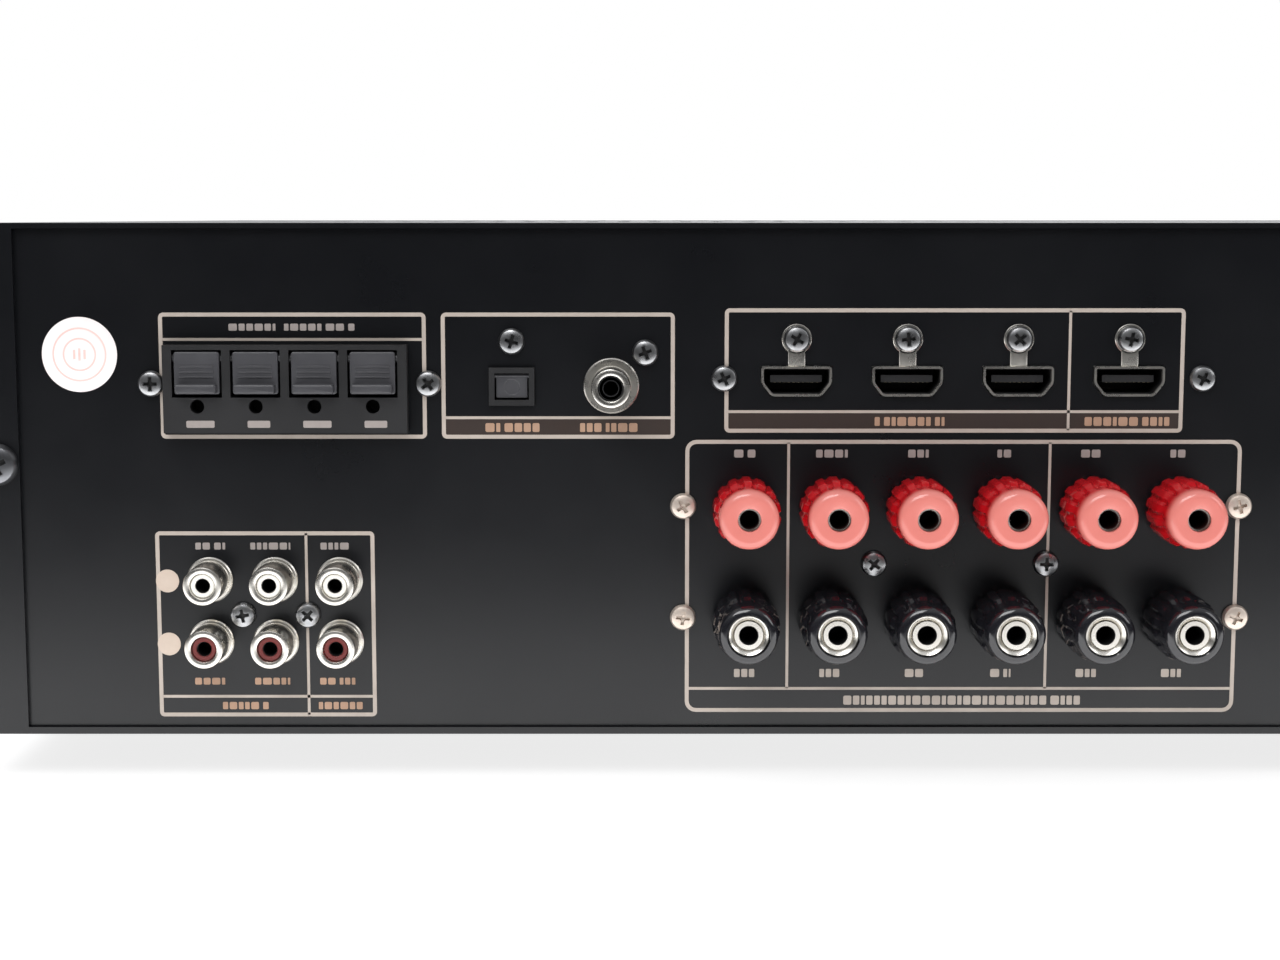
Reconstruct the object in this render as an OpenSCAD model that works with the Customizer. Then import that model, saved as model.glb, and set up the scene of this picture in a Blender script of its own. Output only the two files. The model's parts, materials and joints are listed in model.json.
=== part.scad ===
// Power amplifier for audio and video, with its connectors on the rear panel.
// +X is to the right for someone who looks at the rear panel, -Y is the way the rear panel faces, +Z is up.
// The origin lies under the middle of the whole object, on the surface that it stands on.
// Heights named _z are measured from the underside of the tray, unless a comment says otherwise.

/* [Enclosure] */
// Width over the cover
body_w = 430; // [410:1:520]
// Depth from the rear panel's face to the front panel's face
body_d = 320; // [310:1:400]
// Height from the underside of the tray to the top of the cover
body_h = 110; // [104:1:150]
// Thickness of the cover sheet and of the rear panel
sheet_t = 1.2; // [0.8:0.1:1.6]
// Thickness of the tray sheet
tray_t = 1.5; // [1:0.1:2]
// Height of the tray's side flanges
flange_h = 22; // [14:1:30]
// Thickness of the front panel
front_t = 6; // [4:0.5:10]
// Width of the cover's rear lips
lip_w = 10.7; // [8:0.1:14]
// Outer radius of the cover's two long bends
bend_r = 2.4; // [1.8:0.1:4]
// Width of a vent slot
slot_w = 3; // [2:0.5:4]
// Length of a vent slot
slot_len = 34; // [20:1:40]
// Spacing of the vent slots
slot_pitch = 8; // [6:0.5:12]
// Height of the feet
foot_h = 10; // [6:1:16]
// Diameter of the feet at the top
foot_d = 40; // [30:1:44]
// Distance from the rear or front face to a foot's centre
foot_inset_d = 64; // [50:1:90]
// Distance from the side of the body to a foot's centre
foot_inset_w = 55; // [35:1:80]

/* [Screws] */
// Head diameter of the panel screws
screw_head_d = 5.6; // [5:0.1:6.5]
// Head height of the panel screws
screw_head_h = 1.6; // [1:0.1:2.4]
// Shank diameter of the panel screws
screw_d = 3; // [2.5:0.1:3.5]
// Length of a panel screw's shank
screw_len = 6; // [4:0.5:8]
// Head diameter of the cover screws
cover_screw_head_d = 9; // [7:0.5:11]
// Shank diameter of the cover screws
cover_screw_d = 4; // [3:0.5:5]

/* [Antenna terminals] */
// Width of the terminal block
antenna_w = 51.7; // [48:0.1:56]
// Height of the terminal block's face
antenna_h = 18.7; // [17:0.1:22]
// Spacing of the push levers
lever_pitch = 12.4; // [11:0.1:13]
// Width of a push lever
lever_w = 9.6; // [8:0.1:10]
// Height of a push lever
lever_h = 9; // [7:0.1:10]
// How far the block stands out of the panel
antenna_reach = 3.2; // [2:0.1:5]

/* [Digital sockets] */
// Width of the optical socket's face
optical_w = 9.7; // [9:0.1:12]
// Height of the optical socket's face
optical_h = 8.1; // [7.8:0.1:10]
// Wall round the optical socket's cavity
optical_wall = 1.2; // [1:0.1:1.4]
// Diameter of the coaxial jack's flange
coax_flange_d = 11.8; // [10:0.1:13]
// Width of a video socket
video_w = 15; // [14.5:0.1:16]
// Height of a video socket
video_h = 6.4; // [6:0.1:7]
// Spacing of the video sockets
video_pitch = 23.6; // [22:0.1:25]

/* [Line jacks] */
// Outer diameter of a jack's barrel
jack_d = 8.3; // [8:0.1:9]
// How far a barrel stands out of the panel
jack_reach = 9; // [7:0.5:11]
// Diameter of the hole for a plug's pin
jack_pin_hole_d = 3.2; // [3:0.1:3.6]
// Spacing of the jacks across
jack_pitch = 14; // [13:0.1:17]
// Spacing of the jack rows
jack_row_pitch = 13.6; // [12.5:0.1:16]

/* [Speaker posts] */
// Number of post columns
post_columns = 6; // [2:1:6]
// Spacing of the post columns
post_pitch = 18.5; // [16.5:0.1:23]
// Spacing of the red row and the black row
post_row_pitch = 24.2; // [17:0.1:25]
// Diameter of a post's cap
cap_d = 14.2; // [13:0.1:15]
// Length of a post's cap
cap_len = 18.7; // [15:0.1:22]
// Diameter of a post's stud
stud_d = 6; // [5.5:0.1:7.2]
// Diameter of the plug hole in a stud
plug_hole_d = 4.1; // [4:0.1:4.4]
// Depth of the plug hole
plug_hole_len = 13; // [10:0.5:16]
// Outer diameter of the brass insert in a cap
insert_d = 8.6; // [8.4:0.1:9.4]

/* [Mains inlet] */
// Width of the inlet's cavity
inlet_w = 24.4; // [24:0.1:25]
// Height of the inlet's cavity
inlet_h = 16.4; // [16:0.1:17]
// Distance from the side of the body to the inlet's centre
inlet_from_side = 62; // [50:1:70]

/* [Front] */
// Diameter of the volume knob
volume_d = 40; // [30:1:50]
// Diameter of the input knob
input_d = 26; // [20:1:34]
// How far the knobs stand out of the front panel
knob_reach = 17; // [12:1:24]
// Diameter of the power button
button_d = 13; // [10:1:18]
// Travel of the power button
button_travel = 3; // [1:0.5:4]
// Width of the display window
window_w = 120; // [90:1:140]
// Height of the display window
window_h = 30; // [20:1:36]

/* [Inside] */
// Outer diameter of the toroidal transformer
coil_d = 106; // [90:1:112]
// Height of the transformer's winding
coil_h = 48; // [40:1:56]
// Length of the heatsink
sink_w = 168; // [120:1:172]
// Height of the heatsink
sink_h = 66; // [50:1:70]
// Number of heatsink fins
fin_count = 20; // [10:1:24]
// Number of output transistors
transistor_count = 8; // [4:1:8]
// Diameter of the filter capacitors
capacitor_d = 35; // [25:1:36]
// Height of the filter capacitors
capacitor_h = 50; // [35:1:55]
// Height of the stand-offs
standoff_h = 8; // [6:0.5:12]

/* [Hidden] */
$fn = 48;
// Clearance between pieces that are fixed together
fit_gap = 0.1;
// Radial running clearance of pins, studs and knobs
run_gap = 0.05;
// Clearance at rest between a moving piece and the face behind it
rest_gap = 0.3;
// Length by which a cut runs past a face
cut = 1;

collar_h = 1;
post_reach = collar_h + rest_gap + cap_len;
rear_y = -(body_d + knob_reach - post_reach) / 2;
front_y = rear_y + body_d;
half_w = body_w / 2;
inner_half_w = half_w - sheet_t - fit_gap;
panel_top_z = body_h - sheet_t - fit_gap;
floor_z = tray_t;
front_wall_d = body_d - front_t - sheet_t;
bend_steps = 6;
slot_margin_w = 45;
slot_margin_d = 75;
front_chamfer = 1.5;
window_edge_w = 3;
window_edge_h = 2;
screw_hole_out = 8;
recess_depth = 0.9;
cover_screw_head_h = 2.4;
lip_screw_x = half_w - lip_w / 2 - 0.8;
lip_screw_z = 58.8;
foot_taper = 2;
side_screw_inset = 42;

board_t = 1.6;
digital_board_z = 71;
digital_board_len = 62;

// Groups on the rear panel keep their distance from the left side, seen from behind.
antenna_x = -half_w + 68;
antenna_z = 75;
lever_count = 4;
lever_top_z = antenna_z + antenna_h / 2 - 1.4;
lever_t = 2;
ledge_t = 2.6;
ledge_h = 2;
ledge_rise = 1.2;
lever_pin_r = 0.9;
lever_pin_z = lever_top_z - 1.4;
lever_pin_out = antenna_reach - 1.8;
bay_w = lever_w + 1;
lever_pin_tip = 0.3;
bay_above = 0.4;
bay_below = 0.7;
bay_depth = 6;
wire_z = lever_top_z - lever_h - 2.6;
wire_hole_r = 1.5;
antenna_back = 12;
antenna_ear = 7;
antenna_screw_left = 28.9;
antenna_screw_right = 30.1;
antenna_screw_z = 76;

optical_x = -half_w + 115.9;
optical_z = 75.4;
optical_reach = 1;
optical_len = 11;
cavity_len = 9.5;
optical_screw_up = 9.6;
optical_lug = [8, 9, 6];
cavity_w = optical_w - 2 * optical_wall;
cavity_h = optical_h - 2 * optical_wall;
shutter_t = 0.8;
shutter_pin_r = 0.45;
shutter_pin_z = optical_z + cavity_h / 2 - shutter_pin_r - 0.15;
shutter_pin_out = optical_reach - 1.1;
shutter_pin_tip = 0.5;

coax_x = -half_w + 137.1;
coax_z = 75.6;
coax_housing_w = 12;
coax_housing_top = 5.8;
coax_lug = 7;
coax_flange_t = 1.2;
coax_screw_off = [7.2, 7];

video_x = -half_w + 176.5;
video_count = 4;
video_z = 76.5;
video_len = 11;
video_reach = 0.8;
video_wall = 0.5;
video_tab_z = 85.5;
video_slant = 2.2;
tab_w = 3.6;
tab_ring_r = 3.2;
tongue_back = 2.5;
tongue_w = 11;
tongue_t = 1.5;
bracket_screw_z = 77.1;
bracket_left = 15.4;
bracket_right = 15.6;
bracket_w = 6.8;
bracket_h = 10;
bracket_t = 1;
bracket_len = 8;

jack_cols = 3;
jack_x = -half_w + 64.6;
jack_z = 26.9;
jack_base_d = jack_d + 1.6;
jack_base_h = 0.8;
jack_wall = 1.5;
jack_root = 3;
jack_core_root = 2;
jack_core_setback = 0.6;
jack_pin_hole_end = 1;
jack_back = 12;
jack_block_margin = 8;
jack_block_w = (jack_cols - 1) * jack_pitch + 2 * jack_block_margin;
jack_block_h = jack_row_pitch + 2 * jack_block_margin;

post_x = -half_w + 212;
post_black_z = 25.1;
post_count = 2 * post_columns;
terminal_t = 3;
terminal_w = (post_columns - 1) * post_pitch + 34;
terminal_screw_side = 13.3;
terminal_screw_up = 0.4;
terminal_z0 = 6;
terminal_z1 = post_black_z + post_row_pitch + 14;
collar_d = 11;
stud_len = post_reach - 1.2;
stud_tail = 9;
stud_nut_d = 11;
stud_nut_h = 2.5;
insert_front_gap = 0.6;
wire_hole_d = 2.4;
wire_hole_out = collar_h + 3.4;
skirt_len = 11.5;
cap_front_d = 12.4;
groove_count = 14;
groove_r = 0.8;

inlet_x = half_w - inlet_from_side;
inlet_z = 46;
inlet_wall = 2;
inlet_body_w = inlet_w + 2 * inlet_wall;
inlet_body_h = inlet_h + 2 * inlet_wall;
inlet_flange_w = 50;
inlet_flange_h = 24;
inlet_flange_t = 3;
inlet_cavity_len = 16;
inlet_screw_span = 40;
pin_span = 14;
pin_thick = 2;
pin_high = 4;
pin_drop = 2;
pin_len = 15;

volume_x = -half_w + 78;
volume_z = body_h / 2 + 3;
input_x = half_w - 92;
power_x = half_w - 42;
power_z = volume_z;
window_z = body_h / 2 + 8;
window_t = 3;
knob_gap = 0.8;
shaft_r = 3;
shaft_len = 13;
bushing_r = 3.6;
bushing_reach = 2;
encoder_w = 13;
encoder_t = 7;
control_gap = 11;
control_board_z0 = 16;
control_board_h = 84;
button_reach = 3.6;
button_t = button_reach + front_t - button_travel - rest_gap;
stem_r = 2.4;
stem_grip = 1;
switch_t = 8;
switch_w = 16;

coil_x = half_w - 88;
coil_y_d = 222;
coil_hole_d = 34;
coil_pad_t = 2;
coil_washer_d = 62;
sink_x = -20;
sink_d = 206;
sink_base_t = 6;
sink_fin_len = 32;
sink_fin_t = 2;
amp_board_d = 92;
amp_board_w = 176;
amp_board_top_z = floor_z + standoff_h + board_t;
transistor_w = 16;
transistor_h = 21;
transistor_t = 5;
transistor_leg_z = amp_board_top_z;
transistor_z = amp_board_top_z + 12;
capacitor_count = 2;
capacitor_pitch = capacitor_d + 16;
capacitor_y_d = amp_board_d + capacitor_d / 2 + 12;
standoff_d = 6;

// Centres of the screws on the rear panel, as [x, z].
antenna_screws = [for (x = [-antenna_screw_left, antenna_screw_right]) [antenna_x + x, antenna_screw_z]];
optical_screw = [optical_x, optical_z + optical_screw_up];
coax_screw = [coax_x, coax_z] + coax_screw_off;
video_screws = [for (i = [0 : video_count - 1]) [video_x + i * video_pitch, video_tab_z]];
video_end_x = video_x + (video_count - 1) * video_pitch;
bracket_screws = [[video_x - bracket_left, bracket_screw_z], [video_end_x + bracket_right, bracket_screw_z]];
jack_screws = [for (side = [-1, 1]) [jack_x + side * jack_pitch / 2, jack_z - 0.9]];
terminal_side = (post_columns - 1) / 2 * post_pitch + terminal_screw_side;
terminal_screws = [
    for (side = [-1, 1], row = [0, 1])
        [post_x + side * terminal_side, post_black_z + terminal_screw_up + row * post_row_pitch],
    for (gap = [1, 3])
        [post_x + (gap - (post_columns - 2) / 2) * post_pitch, post_black_z + post_row_pitch / 2]
];
inlet_screws = [for (side = [-1, 1]) [inlet_x + side * inlet_screw_span / 2, inlet_z]];
rear_screws = concat(antenna_screws, [optical_screw, coax_screw], video_screws, bracket_screws,
    jack_screws, terminal_screws, inlet_screws);

// Centres of the cover screws on the sides, as [depth, z].
side_screw_z = floor_z + flange_h - 8;
side_screws = [for (d = [side_screw_inset, body_d / 2, body_d - side_screw_inset]) [d, side_screw_z]];

// ---- Places ----

// Draws in the rear panel's plane: x right, y up, z out of the panel's face.
module on_rear(x, z, out = 0) {
    translate([x, rear_y - out, foot_h + z]) rotate([90, 0, 0]) children();
}

// Draws in the front panel's plane, seen from the front: y up, z out of the panel's face.
module on_front(x, z, out = 0) {
    translate([x, front_y + out, foot_h + z]) rotate([90, 0, 180]) children();
}

// Puts something at a depth behind the rear panel's face, with the row's own axes.
module inside(x, d, z) {
    translate([x, rear_y + d, foot_h + z]) children();
}

// A box centred on x and on y in the plane that it is drawn in.
module slab(w, h, t) {
    translate([-w / 2, -h / 2, 0]) cube([w, h, t]);
}

// A ring about z.
module ring(r_out, r_in, h) {
    difference() {
        cylinder(r = r_out, h = h);
        translate([0, 0, -cut]) cylinder(r = r_in, h = h + 2 * cut);
    }
}

// The outline of an upright wall inside the cover, with its top corners cut clear of the cover's bends.
module wall_outline(z0) {
    polygon([
        [-inner_half_w, z0], [inner_half_w, z0],
        [inner_half_w, panel_top_z - bend_r], [inner_half_w - bend_r, panel_top_z],
        [-inner_half_w + bend_r, panel_top_z], [-inner_half_w, panel_top_z - bend_r]
    ]);
}

// The holes that the rear screws' shanks pass into.
module rear_screw_holes() {
    for (p = rear_screws)
        on_rear(p[0], p[1], -screw_len) cylinder(r = screw_d / 2 + run_gap, h = screw_len + screw_hole_out);
}

// ---- Places of what repeats ----

// Where item i of a centred row of count items lies.
function row_place(i, count, pitch) = (i - (count - 1) / 2) * pitch;
function lever_x(i) = antenna_x + row_place(i, lever_count, lever_pitch);
function video_socket_x(i) = video_x + i * video_pitch;
function jack_col_x(i) = jack_x + row_place(i, jack_cols, jack_pitch);
function jack_row_z(row) = jack_z + (row - 0.5) * jack_row_pitch;
function post_col_x(i) = post_x + row_place(i, post_columns, post_pitch);
// Posts 1 to post_columns are the red row, and the rest are the black row.
function post_is_red(i) = i <= post_columns;
function post_px(i) = post_col_x((i - 1) % post_columns);
function post_pz(i) = post_black_z + (post_is_red(i) ? post_row_pitch : 0);

module each_jack() {
    for (i = [0 : jack_cols - 1], row = [0, 1]) on_rear(jack_col_x(i), jack_row_z(row)) children();
}

module each_post() {
    for (i = [1 : post_count]) on_rear(post_px(i), post_pz(i)) children();
}

// ---- Enclosure ----

module chassis_tray() {
    color([0.1, 0.1, 0.11]) difference() {
        union() {
            inside(-half_w, -sheet_t, 0) cube([body_w, body_d - front_t + sheet_t, tray_t]);
            for (side = [-1, 1])
                inside(side * (inner_half_w - tray_t / 2) - tray_t / 2, sheet_t + fit_gap, 0)
                    cube([tray_t, front_wall_d - fit_gap, flange_h]);
            inside(0, front_wall_d + sheet_t, 0) rotate([90, 0, 0]) linear_extrude(sheet_t) wall_outline(0);
        }
        front_wall_cuts();
        for (s = side_screws) side_screw_hole(s);
    }
}

module front_wall_cuts() {
    wall_out = -front_t - sheet_t - cut;
    for (x = [volume_x, input_x])
        on_front(x, volume_z, wall_out) cylinder(r = bushing_r + fit_gap, h = sheet_t + 2 * cut);
    on_front(power_x, power_z, wall_out) cylinder(r = stem_r + 2 * rest_gap, h = sheet_t + 2 * cut);
    on_front(0, window_z, wall_out) window_opening(sheet_t + 2 * cut);
}

// The opening behind the display window, smaller than the window by its glued edge.
module window_opening(t) {
    slab(window_w - 2 * window_edge_w, window_h - 2 * window_edge_h, t);
}

module side_screw_hole(s) {
    for (side = [-1, 1])
        inside(side * half_w, s[0], s[1]) rotate([0, -90 * side, 0]) translate([0, 0, -cut])
            cylinder(r = cover_screw_d / 2 + run_gap, h = sheet_t + fit_gap + tray_t + 2 * cut);
}

module rear_panel() {
    color([0.12, 0.12, 0.13]) difference() {
        inside(0, sheet_t, 0) rotate([90, 0, 0]) linear_extrude(sheet_t) wall_outline(floor_z);
        on_rear(antenna_x, antenna_z, -sheet_t - cut)
            slab(antenna_w + 2 * fit_gap, antenna_h + 2 * fit_gap, sheet_t + 2 * cut);
        on_rear(optical_x, optical_z, -sheet_t - cut)
            slab(optical_w + 2 * fit_gap, optical_h + 2 * fit_gap, sheet_t + 2 * cut);
        on_rear(coax_x, coax_z) panel_hole(jack_d / 2);
        for (i = [0 : video_count - 1])
            on_rear(video_socket_x(i), video_z, -sheet_t - cut) linear_extrude(sheet_t + 2 * cut)
                video_outline(fit_gap);
        each_jack() panel_hole(jack_d / 2);
        each_post() panel_hole(collar_d / 2);
        on_rear(inlet_x, inlet_z, -sheet_t - cut)
            slab(inlet_body_w + 2 * fit_gap, inlet_body_h + 2 * fit_gap, sheet_t + 2 * cut);
        rear_screw_holes();
        lip_screw_holes();
    }
}

// A round hole through the rear panel, with clearance round what it holds.
module panel_hole(r) {
    translate([0, 0, -sheet_t - cut]) cylinder(r = r + fit_gap, h = sheet_t + 2 * cut);
}

module lip_screw_holes() {
    for (side = [-1, 1])
        on_rear(side * lip_screw_x, lip_screw_z, -screw_len)
            cylinder(r = cover_screw_d / 2 + run_gap, h = screw_len + screw_hole_out);
}

// A slot with chamfered ends, along y.
module vent_slot(len, h) {
    e = slot_w / 4;
    linear_extrude(h) polygon([
        [-slot_w / 2, -len / 2 + e], [-e, -len / 2], [e, -len / 2], [slot_w / 2, -len / 2 + e],
        [slot_w / 2, len / 2 - e], [e, len / 2], [-e, len / 2], [-slot_w / 2, len / 2 - e]
    ]);
}

// Points on a quarter bend about [cx, cz], from angle a0 on.
function bend(cx, cz, r, a0) =
    [for (k = [0 : bend_steps]) let (a = a0 + 90 * k / bend_steps) [cx + r * cos(a), cz + r * sin(a)]];

// The arch-shaped outline of the cover's sheet, inset by t from its outer face.
module cover_outline(t, z0) {
    corner_x = half_w - bend_r;
    corner_z = body_h - bend_r;
    polygon(concat(
        [[half_w - t, z0]], bend(corner_x, corner_z, bend_r - t, 0),
        bend(-corner_x, corner_z, bend_r - t, 90), [[-half_w + t, z0]]
    ));
}

module top_cover() {
    cover_len = body_d - front_t + sheet_t;
    top_slots = floor((body_w - 2 * slot_margin_w) / slot_pitch);
    side_slots = floor((body_d - 2 * slot_margin_d) / slot_pitch);
    color([0.13, 0.13, 0.14]) difference() {
        union() {
            inside(0, body_d - front_t, 0) rotate([90, 0, 0]) difference() {
                linear_extrude(cover_len) cover_outline(0, floor_z);
                translate([0, 0, -cut]) linear_extrude(cover_len + 2 * cut)
                    cover_outline(sheet_t, floor_z - cut);
            }
            inside(0, 0, 0) rotate([90, 0, 0]) linear_extrude(sheet_t) intersection() {
                cover_outline(0, floor_z);
                for (x = [-half_w, half_w - lip_w]) translate([x, 0]) square([lip_w, body_h]);
            }
        }
        for (i = [0 : top_slots - 1], row = [0, 1])
            inside(row_place(i, top_slots, slot_pitch), body_d * (0.3 + 0.4 * row), body_h - sheet_t - cut)
                vent_slot(slot_len, sheet_t + 2 * cut);
        for (side = [-1, 1], i = [0 : side_slots - 1])
            inside(side * half_w, body_d / 2 + row_place(i, side_slots, slot_pitch), body_h * 0.6)
                rotate([90, 0, 90]) translate([0, 0, -sheet_t - cut])
                    vent_slot(slot_len, 2 * (sheet_t + cut));
        for (s = side_screws) side_screw_hole(s);
        lip_screw_holes();
    }
}

module front_panel() {
    c = front_chamfer;
    color([0.11, 0.11, 0.12]) difference() {
        intersection() {
            inside(0, body_d - front_t, 0) linear_extrude(body_h) polygon([
                [-half_w, 0], [half_w, 0], [half_w, front_t - c], [half_w - c, front_t],
                [-half_w + c, front_t], [-half_w, front_t - c]
            ]);
            inside(-half_w, body_d - front_t, 0) rotate([90, 0, 90]) linear_extrude(body_w) polygon([
                [0, 0], [front_t - c, 0], [front_t, c], [front_t, body_h - c],
                [front_t - c, body_h], [0, body_h]
            ]);
        }
        on_front(0, window_z, -front_t - cut) window_opening(front_t + 2 * cut);
        on_front(0, window_z, -window_t) slab(window_w + 2 * fit_gap, window_h + 2 * fit_gap, window_t + cut);
        for (x = [volume_x, input_x])
            on_front(x, volume_z, -front_t - cut) cylinder(r = bushing_r + fit_gap, h = front_t + 2 * cut);
        on_front(power_x, power_z, -front_t - cut)
            cylinder(r = button_d / 2 + rest_gap, h = front_t + 2 * cut);
    }
}

module display_window() {
    color([0.05, 0.06, 0.08]) on_front(0, window_z, -window_t) slab(window_w, window_h, window_t);
}

module feet() {
    color([0.08, 0.08, 0.08])
        for (side = [-1, 1], d = [foot_inset_d, body_d - foot_inset_d])
            inside(side * (half_w - foot_inset_w), d, -foot_h)
                cylinder(r1 = foot_d / 2 - foot_taper, r2 = foot_d / 2, h = foot_h);
}

// A screw whose head lies on z = 0, with a cross recess and a shank below it.
module pan_screw(head_d, head_h, d, len) {
    recess = head_d * 0.5;
    difference() {
        union() {
            cylinder(r1 = head_d / 2, r2 = head_d / 2 - head_h / 3, h = head_h);
            translate([0, 0, -len]) cylinder(r = d / 2, h = len + head_h / 2);
        }
        for (a = [0, 90]) rotate(a) translate([0, 0, head_h - recess_depth])
            slab(recess, recess / 4, 2 * recess_depth);
    }
}

module cover_screw() {
    pan_screw(cover_screw_head_d, cover_screw_head_h, cover_screw_d, screw_len);
}

module cover_screws() {
    color([0.2, 0.2, 0.21]) {
        for (side = [-1, 1]) {
            on_rear(side * lip_screw_x, lip_screw_z, sheet_t) cover_screw();
            for (s = side_screws) inside(side * half_w, s[0], s[1]) rotate([0, 90 * side, 0]) cover_screw();
        }
    }
}

module panel_screws() {
    color([0.3, 0.3, 0.3])
        for (p = rear_screws)
            on_rear(p[0], p[1], screw_seat(p))
                pan_screw(screw_head_d, screw_head_h, screw_d, screw_len - 1 + screw_seat(p));
}

// A screw on the inlet's flange or on a socket's tab sits that much further out.
function screw_seat(p) =
    p[0] > inlet_x - inlet_screw_span ? inlet_flange_t : (p[1] == video_tab_z ? video_wall : 0);

// ---- Antenna terminals ----

module antenna_terminal_block() {
    color([0.16, 0.16, 0.17]) difference() {
        union() {
            on_rear(antenna_x, antenna_z, -antenna_back)
                slab(antenna_w, antenna_h, antenna_back + antenna_reach);
            on_rear(antenna_x, antenna_z, -antenna_back)
                slab(antenna_w + 2 * antenna_ear, antenna_h - 4, antenna_back - sheet_t);
        }
        for (i = [0 : lever_count - 1]) {
            on_rear(lever_x(i), lever_top_z - lever_h - bay_below, antenna_reach - bay_depth)
                translate([-bay_w / 2, 0, 0]) cube([bay_w, lever_h + bay_below + bay_above, bay_depth + cut]);
            on_rear(lever_x(i), wire_z, antenna_reach - bay_depth)
                cylinder(r = wire_hole_r, h = bay_depth + cut);
            on_rear(lever_x(i), lever_pin_z, lever_pin_out) rotate([0, 90, 0])
                cylinder(r = lever_pin_r + run_gap, h = bay_w + 2 * (lever_pin_tip + fit_gap), center = true);
        }
        rear_screw_holes();
    }
}

// A push lever on its own pin. Its lower end swings into the block.
module antenna_lever(i) {
    color([0.25, 0.25, 0.26]) union() {
        on_rear(lever_x(i), lever_top_z - lever_h / 2, antenna_reach - lever_t)
            slab(lever_w, lever_h, lever_t);
        on_rear(lever_x(i), lever_top_z - lever_h + ledge_rise, antenna_reach - 0.5)
            slab(lever_w - 1, ledge_h, ledge_t);
        on_rear(lever_x(i), lever_pin_z, lever_pin_out) rotate([0, 90, 0])
            cylinder(r = lever_pin_r, h = bay_w + 2 * lever_pin_tip, center = true);
    }
}

// ---- Digital sockets ----

module optical_socket() {
    foot_z = digital_board_z - optical_z;
    color([0.18, 0.18, 0.19]) difference() {
        union() {
            on_rear(optical_x, optical_z, -optical_len)
                slab(optical_w, optical_h, optical_len + optical_reach);
            on_rear(optical_x, optical_z, -optical_len)
                translate([-optical_w / 2, foot_z, 0])
                    cube([optical_w, optical_h / 2 - foot_z, optical_len - sheet_t - fit_gap]);
            on_rear(optical_x, optical_screw[1] - 2, -sheet_t - optical_lug[2])
                slab(optical_lug[0], optical_lug[1], optical_lug[2]);
        }
        on_rear(optical_x, optical_z, optical_reach - cavity_len) slab(cavity_w, cavity_h, cavity_len + cut);
        on_rear(optical_x, shutter_pin_z, shutter_pin_out) rotate([0, 90, 0])
            cylinder(r = shutter_pin_r + run_gap, h = cavity_w + 2 * shutter_pin_tip + 4 * fit_gap,
                center = true);
        rear_screw_holes();
    }
}

// The dust shutter hangs on its pin at the top of the cavity and swings inwards.
module optical_shutter() {
    drop = cavity_h - 0.5;
    color([0.28, 0.28, 0.3]) union() {
        on_rear(optical_x, shutter_pin_z + 0.25 - drop / 2, shutter_pin_out - shutter_t / 2)
            slab(cavity_w - 0.6, drop - 0.5, shutter_t);
        on_rear(optical_x, shutter_pin_z, shutter_pin_out) rotate([0, 90, 0])
            cylinder(r = shutter_pin_r, h = cavity_w + 2 * shutter_pin_tip, center = true);
    }
}

// The insulator in a barrel, with the hole for a plug's pin.
module jack_core() {
    difference() {
        translate([0, 0, -jack_core_root])
            cylinder(r = jack_d / 2 - jack_wall - fit_gap,
                h = jack_core_root + jack_reach - jack_core_setback);
        translate([0, 0, jack_pin_hole_end]) cylinder(r = jack_pin_hole_d / 2, h = jack_reach);
    }
}

module jack_housings() {
    color([0.08, 0.08, 0.08]) difference() {
        on_rear(jack_x, jack_z, -sheet_t - jack_back) slab(jack_block_w, jack_block_h, jack_back);
        each_jack() barrel_seat();
        rear_screw_holes();
    }
    color([0.08, 0.08, 0.08]) coax_housing();
}

// The seat of a barrel's root in its housing.
module barrel_seat() {
    translate([0, 0, -jack_root]) cylinder(r = jack_d / 2 + run_gap, h = jack_root + cut);
}

module coax_housing() {
    base_z = digital_board_z - coax_z;
    difference() {
        union() {
            on_rear(coax_x, coax_z, -sheet_t - jack_back)
                translate([-coax_housing_w / 2, base_z, 0])
                    cube([coax_housing_w, coax_housing_top + jack_d / 2 - base_z, jack_back]);
            on_rear(coax_screw[0], coax_screw[1], -sheet_t - jack_back) slab(coax_lug, coax_lug, jack_back);
        }
        on_rear(coax_x, coax_z) barrel_seat();
        rear_screw_holes();
    }
    on_rear(coax_x, coax_z) jack_core();
}

// A barrel with a flange that lies on the panel.
module jack_shell(flange_r, flange_h) {
    bore_r = jack_d / 2 - jack_wall;
    union() {
        translate([0, 0, -jack_root]) ring(jack_d / 2, bore_r, jack_reach + jack_root);
        ring(flange_r, bore_r, flange_h);
    }
}

module jack_shells() {
    color([0.8, 0.8, 0.8]) {
        each_jack() jack_shell(jack_base_d / 2, jack_base_h);
        on_rear(coax_x, coax_z) jack_shell(coax_flange_d / 2, coax_flange_t);
    }
}

module jack_inserts(row) {
    for (i = [0 : jack_cols - 1]) on_rear(jack_col_x(i), jack_row_z(row)) jack_core();
}

// The socket's outline: the lower corners are cut at a slant. grow widens it on every side.
module video_outline(grow) {
    w = video_w / 2 + grow;
    h = video_h / 2 + grow;
    side_h = -h + video_slant + 0.6;
    polygon([[-w, h], [w, h], [w, side_h], [w - video_slant, -h], [-w + video_slant, -h], [-w, side_h]]);
}

module video_socket_shells() {
    color([0.55, 0.55, 0.55])
        for (i = [0 : video_count - 1]) difference() {
            union() {
                on_rear(video_socket_x(i), video_z, -video_len)
                    linear_extrude(video_len + video_reach) video_outline(0);
                on_rear(video_socket_x(i), (video_z + video_tab_z) / 2)
                    slab(tab_w, video_tab_z - video_z, video_wall);
                on_rear(video_socket_x(i), video_tab_z) cylinder(r = tab_ring_r, h = video_wall);
            }
            on_rear(video_socket_x(i), video_z, -video_len - cut)
                linear_extrude(video_len + video_reach + 2 * cut)
                video_outline(-video_wall);
            rear_screw_holes();
        }
}

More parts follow.
